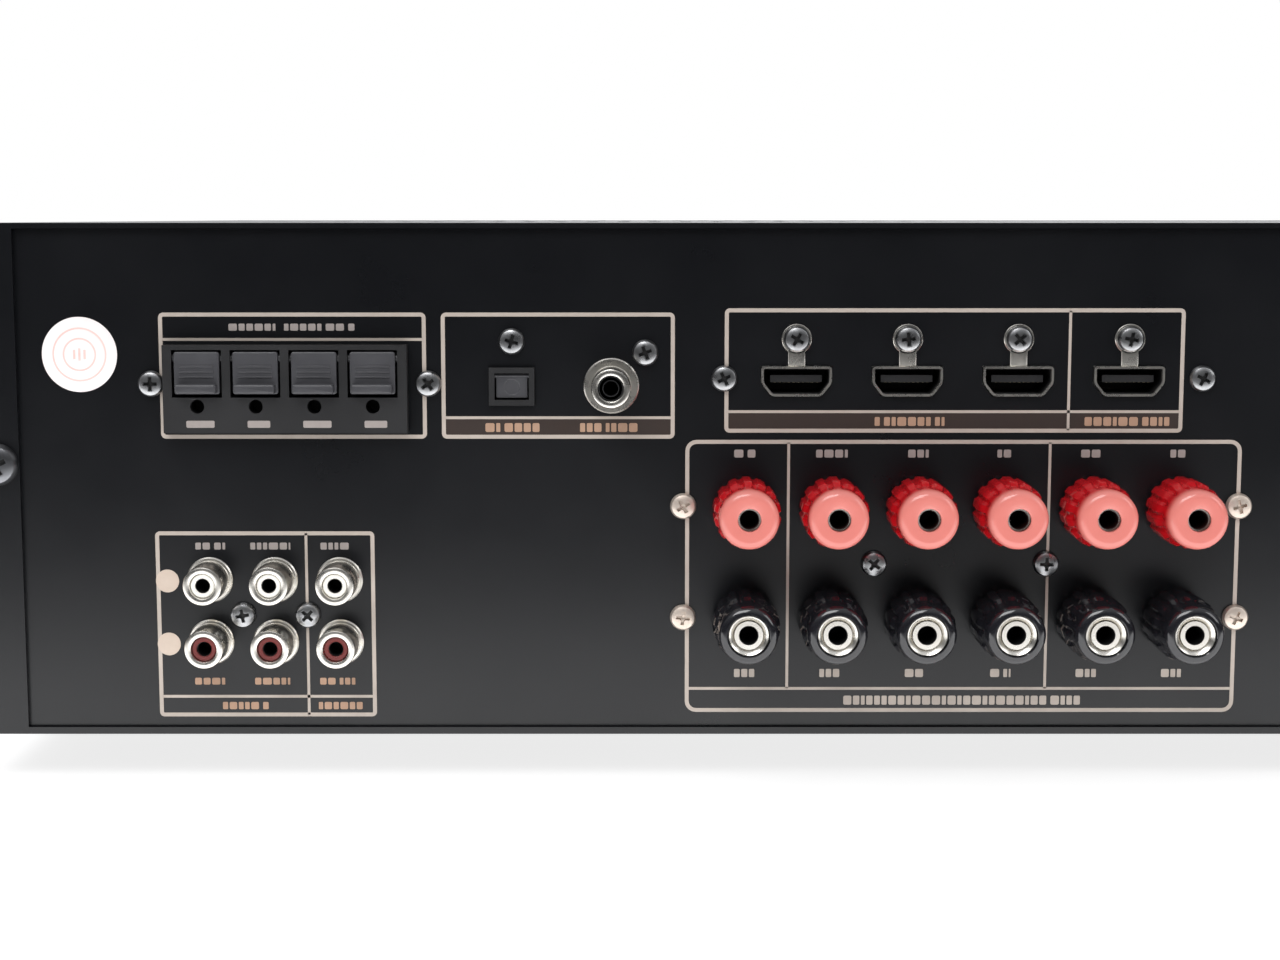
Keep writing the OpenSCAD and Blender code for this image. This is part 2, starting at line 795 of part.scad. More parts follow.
// The plastic core: a block that closes the shell's rear and stands on the board, with the contact tongue.
module video_socket_tongues() {
    color([0.07, 0.07, 0.07])
        for (i = [0 : video_count - 1]) {
            on_rear(video_socket_x(i), video_z, -video_len - tongue_back + 0.5) linear_extrude(tongue_back)
                video_outline(-video_wall - fit_gap);
            on_rear(video_socket_x(i), video_z, -video_len - tongue_back + 0.5)
                translate([-video_w / 2, digital_board_z - video_z, 0])
                    cube([video_w, video_z + 2 - digital_board_z, tongue_back - 0.6]);
            on_rear(video_socket_x(i), video_z + 0.5, -video_len) slab(tongue_w, tongue_t, video_len - 1);
        }
}

// ---- Speaker posts ----

module speaker_terminal_board() {
    board_h = terminal_z1 - terminal_z0;
    color([0.06, 0.06, 0.06]) difference() {
        union() {
            on_rear(post_x, (terminal_z0 + terminal_z1) / 2, -sheet_t - terminal_t)
                slab(terminal_w, board_h, terminal_t);
            each_post() translate([0, 0, -sheet_t - 0.5])
                cylinder(r = collar_d / 2, h = sheet_t + 0.5 + collar_h);
        }
        each_post() translate([0, 0, -sheet_t - terminal_t - cut]) cylinder(r = stud_d / 2 + run_gap, h = 12);
        rear_screw_holes();
    }
}

module post_studs() {
    back = -sheet_t - terminal_t;
    color([0.75, 0.7, 0.5]) each_post() difference() {
        union() {
            translate([0, 0, back - stud_tail]) cylinder(r = stud_d / 2, h = stud_len - back + stud_tail);
            translate([0, 0, back - stud_nut_h]) cylinder(r = stud_nut_d / 2, h = stud_nut_h, $fn = 6);
        }
        translate([0, 0, stud_len - plug_hole_len]) cylinder(r = plug_hole_d / 2, h = plug_hole_len + cut);
        translate([0, 0, wire_hole_out]) rotate([90, 0, 0])
            cylinder(r = wire_hole_d / 2, h = 2 * stud_d, center = true);
    }
}

// The brass insert of a cap. It carries the thread, drawn as a plain running bore.
module post_insert(i) {
    color([0.8, 0.78, 0.7]) on_rear(post_px(i), post_pz(i), collar_h + rest_gap + skirt_len / 3)
        ring(insert_d / 2, stud_d / 2 + run_gap, cap_len - skirt_len / 3 - insert_front_gap);
}

module post_cap(i) {
    lead = 1.2;
    color(post_is_red(i) ? [0.8, 0.1, 0.1] : [0.06, 0.06, 0.06])
        on_rear(post_px(i), post_pz(i), collar_h + rest_gap) difference() {
            rotate_extrude() polygon([
                [insert_d / 2 + run_gap, 0], [cap_d / 2 - lead / 2, 0], [cap_d / 2, lead / 2],
                [cap_d / 2, skirt_len - lead], [cap_front_d / 2, skirt_len],
                [cap_front_d / 2, cap_len - lead], [cap_front_d / 2 - lead, cap_len],
                [insert_d / 2 + run_gap, cap_len]
            ]);
            for (k = [0 : groove_count - 1]) rotate(k * 360 / groove_count)
                translate([cap_d / 2 + groove_r / 3, 0, -cut]) cylinder(r = groove_r, h = skirt_len + cut);
        }
}

// ---- Mains inlet ----

// The cavity's outline, with its two upper corners cut.
module inlet_outline() {
    corner = 5;
    w = inlet_w / 2;
    h = inlet_h / 2;
    polygon([[-w, -h], [w, -h], [w, h - corner], [w - corner, h], [-w + corner, h], [-w, h - corner]]);
}

module mains_inlet() {
    depth = inlet_cavity_len + inlet_wall;
    color([0.05, 0.05, 0.05]) difference() {
        union() {
            on_rear(inlet_x, inlet_z) slab(inlet_flange_w, inlet_flange_h, inlet_flange_t);
            on_rear(inlet_x, inlet_z, -depth + inlet_flange_t)
                slab(inlet_body_w, inlet_body_h, depth);
        }
        on_rear(inlet_x, inlet_z, inlet_flange_t - inlet_cavity_len) linear_extrude(inlet_cavity_len + cut)
            inlet_outline();
        rear_screw_holes();
    }
}

module mains_pins() {
    color([0.8, 0.8, 0.8])
        for (p = [[-pin_span / 2, -pin_drop], [pin_span / 2, -pin_drop], [0, pin_drop]])
            on_rear(inlet_x + p[0], inlet_z + p[1], inlet_flange_t - inlet_cavity_len)
                slab(pin_thick, pin_high, pin_len - (p[0] == 0 ? 1 : 3));
}

// ---- Front ----

// A knob with a grip of flats round its side, and a blind bore for the shaft.
module knob(d, flats) {
    rim = 1.5;
    difference() {
        rotate_extrude() polygon([
            [0, knob_gap], [d / 2 - 0.6, knob_gap], [d / 2, knob_gap + 0.6], [d / 2, knob_reach - rim],
            [d / 2 - rim, knob_reach], [0, knob_reach]
        ]);
        cylinder(r = bushing_r + knob_gap, h = 4);
        cylinder(r = shaft_r + run_gap, h = shaft_len + rest_gap);
        for (k = [0 : flats - 1]) rotate(k * 360 / flats)
            translate([d / 2 + 0.3, 0, 3]) cylinder(r = 0.7, h = knob_reach - rim - 4);
        translate([0, d / 2 - 4, knob_reach - 0.5]) slab(1.4, 5, 2);
    }
}

module volume_knob() {
    color([0.35, 0.35, 0.36]) on_front(volume_x, volume_z) knob(volume_d, 36);
}

module input_knob() {
    color([0.35, 0.35, 0.36]) on_front(input_x, volume_z) knob(input_d, 24);
}

module power_button() {
    back = front_t + sheet_t;
    switch_face = -(back + control_gap - switch_t);
    color([0.3, 0.3, 0.31]) on_front(power_x, power_z) union() {
        translate([0, 0, button_reach - button_t]) cylinder(r = button_d / 2, h = button_t);
        translate([0, 0, switch_face - stem_grip])
            cylinder(r = stem_r, h = button_reach - button_t - switch_face + 2 * stem_grip);
    }
}

module control_board() {
    wall_out = -front_t - sheet_t;
    board_out = wall_out - control_gap;
    board_w = power_x - volume_x + 40;
    color([0.1, 0.3, 0.15]) {
        on_front((power_x + volume_x) / 2, control_board_z0 + control_board_h / 2, board_out - board_t)
            slab(board_w, control_board_h, board_t);
        for (x = [volume_x, input_x]) on_front(x, volume_z, board_out) union() {
            slab(encoder_w, encoder_w, encoder_t);
            cylinder(r = bushing_r, h = bushing_reach - wall_out + control_gap);
            cylinder(r = shaft_r, h = shaft_len - wall_out + control_gap);
        }
        on_front(power_x, power_z, board_out) difference() {
            slab(switch_w, switch_w, switch_t);
            translate([0, 0, switch_t - button_travel - 2 * stem_grip])
                cylinder(r = stem_r + run_gap, h = button_travel + 4 * stem_grip);
        }
        on_front(0, window_z, board_out) slab(window_w - 8, window_h - 6, control_gap - 1);
    }
}

// ---- Inside ----

module transformer() {
    edge = 8;
    hole_r = coil_hole_d / 2;
    coil_z = floor_z + coil_pad_t;
    color([0.55, 0.35, 0.15]) inside(coil_x, coil_y_d, coil_z) rotate_extrude() polygon([
        [hole_r + edge / 2, 0], [coil_d / 2 - edge, 0], [coil_d / 2, edge], [coil_d / 2, coil_h - edge],
        [coil_d / 2 - edge, coil_h], [hole_r + edge / 2, coil_h], [hole_r, coil_h - edge / 2],
        [hole_r, edge / 2]
    ]);
    color([0.1, 0.1, 0.1]) inside(coil_x, coil_y_d, floor_z)
        ring(coil_d / 2 - edge, hole_r + edge, coil_pad_t);
    color([0.6, 0.6, 0.6]) union() {
        inside(coil_x, coil_y_d, coil_z + coil_h) cylinder(r = coil_washer_d / 2, h = 2);
        inside(coil_x, coil_y_d, coil_z + coil_h) cylinder(r = 7, h = 7, $fn = 6);
        inside(coil_x, coil_y_d, floor_z) cylinder(r = 4, h = coil_h + coil_pad_t + 1);
    }
}

module heatsink() {
    fin_pitch = (sink_w - sink_fin_t) / (fin_count - 1);
    color([0.5, 0.5, 0.52]) union() {
        inside(sink_x - sink_w / 2, sink_d, floor_z) cube([sink_w, sink_base_t, sink_h]);
        for (i = [0 : fin_count - 1])
            inside(sink_x - sink_w / 2 + i * fin_pitch, sink_d + sink_base_t - 0.5, floor_z)
                cube([sink_fin_t, sink_fin_len, sink_h]);
    }
}

function transistor_x(i) = sink_x + row_place(i, transistor_count, (sink_w - 8) / transistor_count);

module output_transistors() {
    leg_gap = 5.4;
    color([0.08, 0.08, 0.08])
        for (i = [0 : transistor_count - 1]) {
            inside(transistor_x(i) - transistor_w / 2, sink_d - transistor_t, transistor_z)
                cube([transistor_w, transistor_t, transistor_h]);
        }
    color([0.7, 0.7, 0.7])
        for (i = [0 : transistor_count - 1], leg = [-1, 0, 1])
            inside(transistor_x(i) + leg * leg_gap - 0.5, sink_d - transistor_t / 2 - 0.4, transistor_leg_z)
                cube([1, 0.8, transistor_z - transistor_leg_z]);
}

module amplifier_board() {
    color([0.55, 0.42, 0.15]) inside(sink_x - amp_board_w / 2, amp_board_d, floor_z + standoff_h)
        cube([amp_board_w, sink_d - amp_board_d - 1, board_t]);
}

module filter_capacitors() {
    color([0.1, 0.12, 0.2])
        for (i = [0 : capacitor_count - 1])
            inside(sink_x + row_place(i, capacitor_count, capacitor_pitch), capacitor_y_d, amp_board_top_z)
                cylinder(r = capacitor_d / 2, h = capacitor_h);
}

module digital_board() {
    x0 = optical_x - 9;
    x1 = video_end_x + 19;
    color([0.1, 0.3, 0.15]) inside(x0, sheet_t + 1, digital_board_z - board_t)
        cube([x1 - x0, digital_board_len, board_t]);
    color([0.7, 0.7, 0.7])
        for (p = bracket_screws) difference() {
            on_rear(p[0], digital_board_z, -sheet_t - bracket_len)
                translate([-bracket_w / 2, 0, 0]) union() {
                    cube([bracket_w, bracket_t, bracket_len]);
                    translate([0, 0, bracket_len - bracket_t]) cube([bracket_w, bracket_h, bracket_t]);
                }
            rear_screw_holes();
        }
}

module board_standoffs() {
    color([0.75, 0.65, 0.3]) {
        for (sx = [-1, 1], d = [amp_board_d + 6, sink_d - 30])
            inside(sink_x + sx * (amp_board_w / 2 - standoff_d), d, floor_z)
                cylinder(r = standoff_d / 2, h = standoff_h, $fn = 6);
        for (x = [volume_x - 12, power_x + 12],
             z = [control_board_z0 + standoff_d, control_board_z0 + control_board_h - standoff_d])
            on_front(x, z, -front_t - sheet_t - control_gap)
                cylinder(r = standoff_d / 2, h = control_gap, $fn = 6);
    }
}

chassis_tray();
rear_panel();
top_cover();
front_panel();
display_window();
feet();
cover_screws();
panel_screws();
antenna_terminal_block();
for (i = [1 : lever_count]) antenna_lever(i - 1);
optical_socket();
optical_shutter();
jack_housings();
jack_shells();
color([0.85, 0.85, 0.82]) jack_inserts(1);  // white_jack_inserts
color([0.75, 0.12, 0.1]) jack_inserts(0);  // red_jack_inserts
video_socket_shells();
video_socket_tongues();
speaker_terminal_board();
post_studs();
mains_inlet();
mains_pins();
for (i = [1 : post_count]) post_insert(i);
for (i = [1 : post_count]) post_cap(i);
volume_knob();
input_knob();
power_button();
control_board();
transformer();
heatsink();
output_transistors();
amplifier_board();
filter_capacitors();
digital_board();
board_standoffs();
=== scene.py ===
"""Looks of a power amplifier for audio and video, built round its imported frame.

Lengths are in millimetres while a form is made, and in metres once it is placed. Heights written z are
measured from the underside of the tray, and places on a panel are x to the right, y up and z out of it.
"""

from __future__ import annotations

import json
import logging
import math
import random
from dataclasses import dataclass, field
from enum import Enum
from typing import Callable, Sequence

import bmesh
import bpy
from mathutils import Matrix, Vector

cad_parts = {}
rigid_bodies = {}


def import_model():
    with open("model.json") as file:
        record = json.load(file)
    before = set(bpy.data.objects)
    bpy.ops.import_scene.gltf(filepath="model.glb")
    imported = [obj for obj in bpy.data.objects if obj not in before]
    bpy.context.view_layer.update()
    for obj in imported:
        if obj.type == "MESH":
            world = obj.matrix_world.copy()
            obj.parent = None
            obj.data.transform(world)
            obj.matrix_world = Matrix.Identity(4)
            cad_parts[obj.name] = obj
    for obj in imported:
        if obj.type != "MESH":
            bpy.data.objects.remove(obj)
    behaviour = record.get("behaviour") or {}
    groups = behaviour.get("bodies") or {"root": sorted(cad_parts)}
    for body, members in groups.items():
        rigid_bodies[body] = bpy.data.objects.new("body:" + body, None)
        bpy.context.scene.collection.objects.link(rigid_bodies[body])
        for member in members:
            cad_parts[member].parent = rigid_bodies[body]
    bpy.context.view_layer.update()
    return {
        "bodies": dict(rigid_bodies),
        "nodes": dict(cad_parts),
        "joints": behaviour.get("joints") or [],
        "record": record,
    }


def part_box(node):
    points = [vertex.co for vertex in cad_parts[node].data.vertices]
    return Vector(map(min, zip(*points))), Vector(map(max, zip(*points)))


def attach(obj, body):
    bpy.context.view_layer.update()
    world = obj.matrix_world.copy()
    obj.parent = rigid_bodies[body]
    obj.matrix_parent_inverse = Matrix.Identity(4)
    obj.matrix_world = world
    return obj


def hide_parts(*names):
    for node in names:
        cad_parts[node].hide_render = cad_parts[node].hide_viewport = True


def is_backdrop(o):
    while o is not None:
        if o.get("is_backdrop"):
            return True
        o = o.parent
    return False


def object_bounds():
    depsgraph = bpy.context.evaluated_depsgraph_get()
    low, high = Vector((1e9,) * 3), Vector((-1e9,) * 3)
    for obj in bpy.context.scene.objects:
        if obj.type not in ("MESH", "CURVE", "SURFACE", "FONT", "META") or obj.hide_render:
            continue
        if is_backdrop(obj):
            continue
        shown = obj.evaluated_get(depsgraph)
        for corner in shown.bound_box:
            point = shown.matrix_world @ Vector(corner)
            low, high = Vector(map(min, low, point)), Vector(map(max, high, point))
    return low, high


LOG = logging.getLogger("amplifier")
MM = 0.001
TOUCH = 1e-4  # points of a form nearer than this, in millimetres, are one point
CORNER_STEPS = 5  # segments round a corner that shows its outline
RIM_STEPS = 3  # segments round a small rim
INK_T = 0.04  # how thick printed ink is shown, in millimetres
OVER_PRINT = 0.01  # how far a second print stands over the first, in millimetres
Tree = bpy.types.NodeTree
Socket = bpy.types.NodeSocket
Profile = Sequence[tuple[float, float]]


# ---- Colour and nodes ----


def linear(hex_colour: str) -> tuple[float, float, float, float]:
    """Turns an sRGB hex colour to linear light.

    Args:
        hex_colour: A colour such as "1a1b1e".

    Returns:
        Red, green, blue and an alpha of 1.
    """
    parts = [int(hex_colour[i : i + 2], 16) / 255 for i in (0, 2, 4)]
    low = [c / 12.92 if c <= 0.04045 else ((c + 0.055) / 1.055) ** 2.4 for c in parts]
    return (low[0], low[1], low[2], 1.0)


def add_node(
    tree: Tree,
    kind: str,
    settings: dict[str | int, object] | None = None,
    links: dict[str | int, Socket] | None = None,
) -> bpy.types.Node:
    """Adds one node with its settings and links.

    Args:
        tree: The node tree to add to.
        kind: The node's Blender type name.
        settings: Values by input name, input number or property name.
        links: The socket that feeds each named or numbered input.

    Returns:
        The new node.
    """
    node = tree.nodes.new(kind)
    for key, value in (settings or {}).items():
        if isinstance(key, str) and key not in node.inputs:
            setattr(node, key, value)
    for key, value in (settings or {}).items():
        if isinstance(key, int) or key in node.inputs:
            node.inputs[key].default_value = value
    for key, source in (links or {}).items():
        tree.links.new(source, node.inputs[key])
    return node


def per_metre(size_mm: float) -> float:
    """The texture scale whose pattern repeats about every size_mm millimetres."""
    return 1000.0 / size_mm


# ---- Finishes ----


@dataclass(frozen=True)
class Finish:
    """A surface as its maker would name it: a grained finish with a second, mottled shade.

    The grain is the size of its bumps, and the depth is how high they stand. The mottle is the size of the
    patches in which its colour and its gloss drift.
    """

    name: str
    colour: str
    shade: str
    roughness: float
    metallic: float = 0.0
    ior: float = 1.5
    coat: float = 0.0
    grain_mm: float = 0.35
    depth_um: float = 12.0
    mottle_mm: float = 18.0
    gloss_drift: float = 0.06

    def material(self) -> bpy.types.Material:
        """Gives the Blender material, which is made the first time it is asked for.

        Returns:
            The material.
        """
        found = bpy.data.materials.get(self.name)
        if found:
            return found
        made = bpy.data.materials.new(self.name)
        made.use_nodes = True
        tree = made.node_tree
        shader = tree.nodes["Principled BSDF"]
        shader.inputs["Metallic"].default_value = self.metallic
        if not self.metallic:
            shader.inputs["IOR"].default_value = self.ior
        shader.inputs["Coat Weight"].default_value = self.coat
        where = add_node(tree, "ShaderNodeTexCoord").outputs["Object"]
        self.dress(tree, shader, where)
        return made

    def dress(self, tree: Tree, shader: bpy.types.Node, where: Socket) -> None:
        """Adds this finish's pattern to its material.

        Args:
            tree: The material's node tree.
            shader: Its Principled shader.
            where: Object coordinates, in metres.
        """
        self.mottle(tree, shader, where)
        self.grain(tree, shader, where)

    def mottle(self, tree: Tree, shader: bpy.types.Node, where: Socket) -> None:
        """Lets the colour and the gloss drift in soft patches.

        Args:
            tree: The material's node tree.
            shader: Its Principled shader.
            where: Object coordinates, in metres.
        """
        patches = add_node(
            tree,
            "ShaderNodeTexNoise",
            {"Scale": per_metre(self.mottle_mm), "Detail": 5.0, "Roughness": 0.6},
            {"Vector": where},
        ).outputs["Fac"]
        mixed = add_node(
            tree,
            "ShaderNodeMix",
            {"data_type": "RGBA", 6: linear(self.colour), 7: linear(self.shade)},
            {0: patches},
        )
        gloss = add_node(
            tree,
            "ShaderNodeMapRange",
            {
                "From Min": 0.3,
                "From Max": 0.7,
                "To Min": max(0.02, self.roughness - self.gloss_drift),
                "To Max": self.roughness + self.gloss_drift,
            },
            {"Value": patches},
        )
        tree.links.new(mixed.outputs[2], shader.inputs["Base Color"])
        tree.links.new(gloss.outputs["Result"], shader.inputs["Roughness"])

    def grain(self, tree: Tree, shader: bpy.types.Node, where: Socket) -> None:
        """Raises the fine grain as a bump.

        Args:
            tree: The material's node tree.
            shader: Its Principled shader.
            where: Object coordinates, in metres.
        """
        grains = add_node(
            tree,
            "ShaderNodeTexNoise",
            {"Scale": per_metre(self.grain_mm), "Detail": 2.0},
            {"Vector": where},
        ).outputs["Fac"]
        self.bump(tree, shader, grains)

    def bump(self, tree: Tree, shader: bpy.types.Node, height: Socket) -> None:
        """Feeds a height to the shader's normal, at this finish's depth.

        Args:
            tree: The material's node tree.
            shader: Its Principled shader.
            height: The pattern that stands up.
        """
        raised = add_node(
            tree,
            "ShaderNodeBump",
            {"Strength": 1.0, "Distance": self.depth_um * 1e-6},
            {"Height": height},
        )
        tree.links.new(raised.outputs["Normal"], shader.inputs["Normal"])


@dataclass(frozen=True)
class Brushed(Finish):
    """Metal rubbed along one direction: long fine scratches that stretch its highlights."""

    along: tuple[float, float, float] = (0.02, 1.0, 1.0)

    def grain(self, tree: Tree, shader: bpy.types.Node, where: Socket) -> None:
        """Draws the grain out along the direction of brushing.

        Args:
            tree: The material's node tree.
            shader: Its Principled shader.
            where: Object coordinates, in metres.
        """
        stretched = add_node(
            tree, "ShaderNodeMapping", {"Scale": self.along}, {"Vector": where}
        ).outputs["Vector"]
        scratches = add_node(
            tree,
            "ShaderNodeTexNoise",
            {"Scale": per_metre(self.grain_mm), "Detail": 3.0, "Roughness": 0.7},
            {"Vector": stretched},
        ).outputs["Fac"]
        self.bump(tree, shader, scratches)


@dataclass(frozen=True)
class ClearMoulding(Finish):
    """Tinted clear plastic: light passes in and comes back coloured, and the skin stays glossy."""

    clearness: float = 0.6

    def dress(self, tree: Tree, shader: bpy.types.Node, where: Socket) -> None:
        """Adds the clearness to the common pattern."""
        super().dress(tree, shader, where)
        shader.inputs["Transmission Weight"].default_value = self.clearness


@dataclass(frozen=True)
class PaintedGlowEnd(ClearMoulding):
    """Clear plastic whose outer end is painted pale, a painted glow and painted reflection of light, by its
    place along Y.
    """

    glow_colour: str = "d8887e"
    deep_y: float = 0.0
    glow_y: float = 0.0

    def mottle(self, tree: Tree, shader: bpy.types.Node, where: Socket) -> None:
        """Fades the colour towards the painted glow at the end, and the clearness with it.

        Args:
            tree: The material's node tree.
            shader: Its Principled shader.
            where: Object coordinates, in metres.
        """
        super().mottle(tree, shader, where)
        along = add_node(tree, "ShaderNodeSeparateXYZ", {}, {0: where}).outputs["Y"]
        share = add_node(
            tree,
            "ShaderNodeMapRange",
            {
                "interpolation_type": "SMOOTHSTEP",
                "From Min": self.deep_y,
                "From Max": self.glow_y,
                "To Max": 0.85,
            },
            {"Value": along},
        ).outputs["Result"]
        under = shader.inputs["Base Color"].links[0].from_socket
        mixed = add_node(
            tree, "ShaderNodeMix", {"data_type": "RGBA", 7: linear(self.glow_colour)}, {0: share, 6: under}
        )
        clear = add_node(
            tree, "ShaderNodeMapRange", {"To Min": self.clearness, "To Max": 0.0}, {"Value": share}
        ).outputs["Result"]
        tree.links.new(mixed.outputs[2], shader.inputs["Base Color"])
        tree.links.new(clear, shader.inputs["Transmission Weight"])


@dataclass(frozen=True)
class Speckled(Finish):
    """A surface with small separate flecks, such as glass fibre in laminate or dust on a varnish."""

    fleck: str = "808080"
    fleck_mm: float = 1.2

    def mottle(self, tree: Tree, shader: bpy.types.Node, where: Socket) -> None:
        """Mixes the flecks into the drifting colour.

        Args:
            tree: The material's node tree.
            shader: Its Principled shader.
            where: Object coordinates, in metres.
        """
        super().mottle(tree, shader, where)
        cells = add_node(
            tree, "ShaderNodeTexVoronoi", {"Scale": per_metre(self.fleck_mm)}, {"Vector": where}
        ).outputs["Distance"]
        mask = add_node(
            tree,
            "ShaderNodeMapRange",
            {"From Min": 0.12, "From Max": 0.2, "To Min": 0.6, "To Max": 0.0},
            {"Value": cells},
        ).outputs["Result"]
        under = shader.inputs["Base Color"].links[0].from_socket
        flecked = add_node(
            tree, "ShaderNodeMix", {"data_type": "RGBA", 7: linear(self.fleck)}, {0: mask, 6: under}
        )
        tree.links.new(flecked.outputs[2], shader.inputs["Base Color"])


@dataclass(frozen=True)
class Banded(Finish):
    """Tape or wire wound in even bands about a vertical axis."""

    band: str = "404040"
    bands: float = 60.0
    centre: tuple[float, float] = (0.0, 0.0)

    def mottle(self, tree: Tree, shader: bpy.types.Node, where: Socket) -> None:
        """Darkens the seam between one turn and the next, by angle round the centre.

        Args:
            tree: The material's node tree.
            shader: Its Principled shader.
            where: Object coordinates, in metres.
        """
        super().mottle(tree, shader, where)
        centred = add_node(
            tree,
            "ShaderNodeMapping",
            {"Location": (-self.centre[0], -self.centre[1], 0.0)},
            {"Vector": where},
        ).outputs["Vector"]
        turns = add_node(
            tree, "ShaderNodeTexGradient", {"gradient_type": "RADIAL"}, {"Vector": centred}
        ).outputs["Fac"]
        counted = add_node(
            tree, "ShaderNodeMath", {"operation": "MULTIPLY", 1: self.bands}, {0: turns}
        ).outputs["Value"]
        share = add_node(tree, "ShaderNodeMath", {"operation": "FRACT"}, {0: counted}).outputs["Value"]
        seam = add_node(
            tree,
            "ShaderNodeMapRange",
            {"From Min": 0.75, "From Max": 1.0, "To Min": 0.0, "To Max": 1.0},
            {"Value": share},
        ).outputs["Result"]
        under = shader.inputs["Base Color"].links[0].from_socket
        mixed = add_node(
            tree, "ShaderNodeMix", {"data_type": "RGBA", 7: linear(self.band)}, {0: seam, 6: under}
        )
        tree.links.new(mixed.outputs[2], shader.inputs["Base Color"])


# Satin powder coat on sheet steel: near black, with a fine pebble that softens every highlight.
POWDER_COAT = Finish(
    "powder_coated_steel", "0b0c0f", "101114", 0.3, ior=1.42, grain_mm=0.4, depth_um=5,
    mottle_mm=30, gloss_drift=0.03,
)
# Black anodised aluminium plate, brushed from side to side: long silky highlights.
FRONT_PLATE = Brushed(
    "black_anodised_aluminium", "1b1b1e", "28282c", 0.32, metallic=0.7, grain_mm=0.25,
    depth_um=6,
)
# Smoked acrylic sheet, polished: a deep black mirror with a trace of blue.
SMOKED_ACRYLIC = Finish(
    "smoked_acrylic", "06070a", "090b10", 0.06, ior=1.49, coat=0.4, grain_mm=9, depth_um=2,
    gloss_drift=0.02,
)
# Moulded synthetic rubber: dull, with a dusty bloom.
RUBBER = Finish(
    "moulded_rubber", "151516", "232324", 0.78, grain_mm=0.5, depth_um=25, gloss_drift=0.08,
)
# Zinc-plated steel screws: soft grey metal, a little darker where it is handled.
ZINC_STEEL = Finish(
    "zinc_plated_steel", "b9babb", "8b8c8f", 0.3, metallic=1.0, grain_mm=0.4, depth_um=4,
    mottle_mm=2.5,
)
# Black-oxide steel screws of the cover: dark metal with a worn grey edge.
BLACK_STEEL = Finish(
    "black_oxide_steel", "8a8b8e", "66676a", 0.32, metallic=1.0, grain_mm=0.5, depth_um=4,
    mottle_mm=3,
)
# Spark-eroded black ABS of sockets and housings: even, matt and faintly grey.
BLACK_ABS = Finish("textured_black_abs", "121214", "1b1b1d", 0.5, grain_mm=0.25, depth_um=12)
# Dark grey ABS of the push levers: satin, lighter than what is round it.
GREY_ABS = Finish("satin_grey_abs", "38383b", "46464a", 0.4, grain_mm=0.3, depth_um=8, mottle_mm=6)
# Bright nickel plate on brass: a soft, pale and slightly warm shine.
NICKEL = Finish(
    "nickel_plate", "e2dfd9", "d3cfc6", 0.28, metallic=1.0, grain_mm=0.8, depth_um=2,
    mottle_mm=5, gloss_drift=0.05,
)
# Nickelled brass insert, turned: duller than the jacks, with a yellow cast.
TURNED_BRASS = Finish(
    "turned_brass", "d8cfb4", "b9ae8e", 0.26, metallic=1.0, grain_mm=0.3, depth_um=5,
    mottle_mm=4,
)
# White nylon insulator: waxy, with light in its skin.
WHITE_NYLON = Finish("white_nylon", "eceae4", "dedbd2", 0.42, grain_mm=0.4, depth_um=6, mottle_mm=5)
# Red nylon insulator; the dark inside its bore is painted shade.
RED_NYLON = Finish("red_nylon", "6e1d19", "551512", 0.42, grain_mm=0.4, depth_um=6, mottle_mm=5)
# Clear red polycarbonate caps: glossy and glowing, with a pink end that is painted glow and painted
# reflection.
CLEAR_RED = PaintedGlowEnd(
    "clear_red_polycarbonate", "e8222c", "cc1620", 0.14, ior=1.5, grain_mm=2, depth_um=5,
    mottle_mm=9, gloss_drift=0.03, clearness=0.4, deep_y=-0.1735, glow_y=-0.1782,
)
# Smoky clear polycarbonate caps: nearly black, with a glassy skin.
CLEAR_SMOKE = ClearMoulding(
    "smoky_polycarbonate", "1c1c20", "26262b", 0.1, ior=1.58, grain_mm=2, depth_um=5,
    mottle_mm=9, gloss_drift=0.03, clearness=0.35,
)
# Painted shade: a dark red sheet in a red post's bore, and its black fellow, which also paints the shade in
# screw recesses, jack holes and video shells.
RED_HOLLOW_SHADE = Finish(
    "painted_red_hollow_shade", "2a0a08", "1c0605", 0.5, grain_mm=0.4, depth_um=6, mottle_mm=3,
)
BLACK_HOLLOW_SHADE = Finish(
    "painted_black_hollow_shade", "0b0b0c", "111112", 0.5, grain_mm=0.4, depth_um=6, mottle_mm=3,
)
# Bright heads of the terminal boards' screws: nickelled, warm and nearly white.
BRIGHT_STEEL = Finish(
    "bright_nickelled_steel", "dccfc4", "c8bbae", 0.42, metallic=0.75, grain_mm=0.5, depth_um=3,
    mottle_mm=3,
)
# Screen-printed cream ink: matt, thin, slightly uneven.
CREAM_INK = Finish(
    "cream_screen_ink", "b8ada4", "a59a90", 0.6, grain_mm=0.3, depth_um=6, mottle_mm=4,
)
# Screen-printed orange ink of the group labels.
ORANGE_INK = Finish(
    "orange_screen_ink", "b0907a", "9b7a62", 0.6, grain_mm=0.3, depth_um=6, mottle_mm=3,
)
# Pale grey ink of the small labels.
GREY_INK = Finish("grey_screen_ink", "a09793", "8c8480", 0.6, grain_mm=0.3, depth_um=6, mottle_mm=3)
# Ivory dots printed beside the jacks.
IVORY_INK = Finish(
    "ivory_screen_ink", "c8b8ab", "baa99a", 0.55, grain_mm=0.3, depth_um=6, mottle_mm=2,
)
# Brown ground printed under the lower labels.
BROWN_INK = Finish(
    "brown_screen_ink", "2e2019", "241813", 0.55, grain_mm=0.3, depth_um=5, mottle_mm=8,
)
# Coated white paper of the inspection label.
LABEL_PAPER = Finish(
    "coated_label_paper", "f7efee", "eee5e4", 0.5, grain_mm=0.6, depth_um=5, mottle_mm=6,
)
# Faded pink stamp ink on the label.
STAMP_INK = Finish(
    "faded_stamp_ink", "e3b9b2", "eed2cd", 0.6, grain_mm=0.4, depth_um=3, mottle_mm=1.5,
)
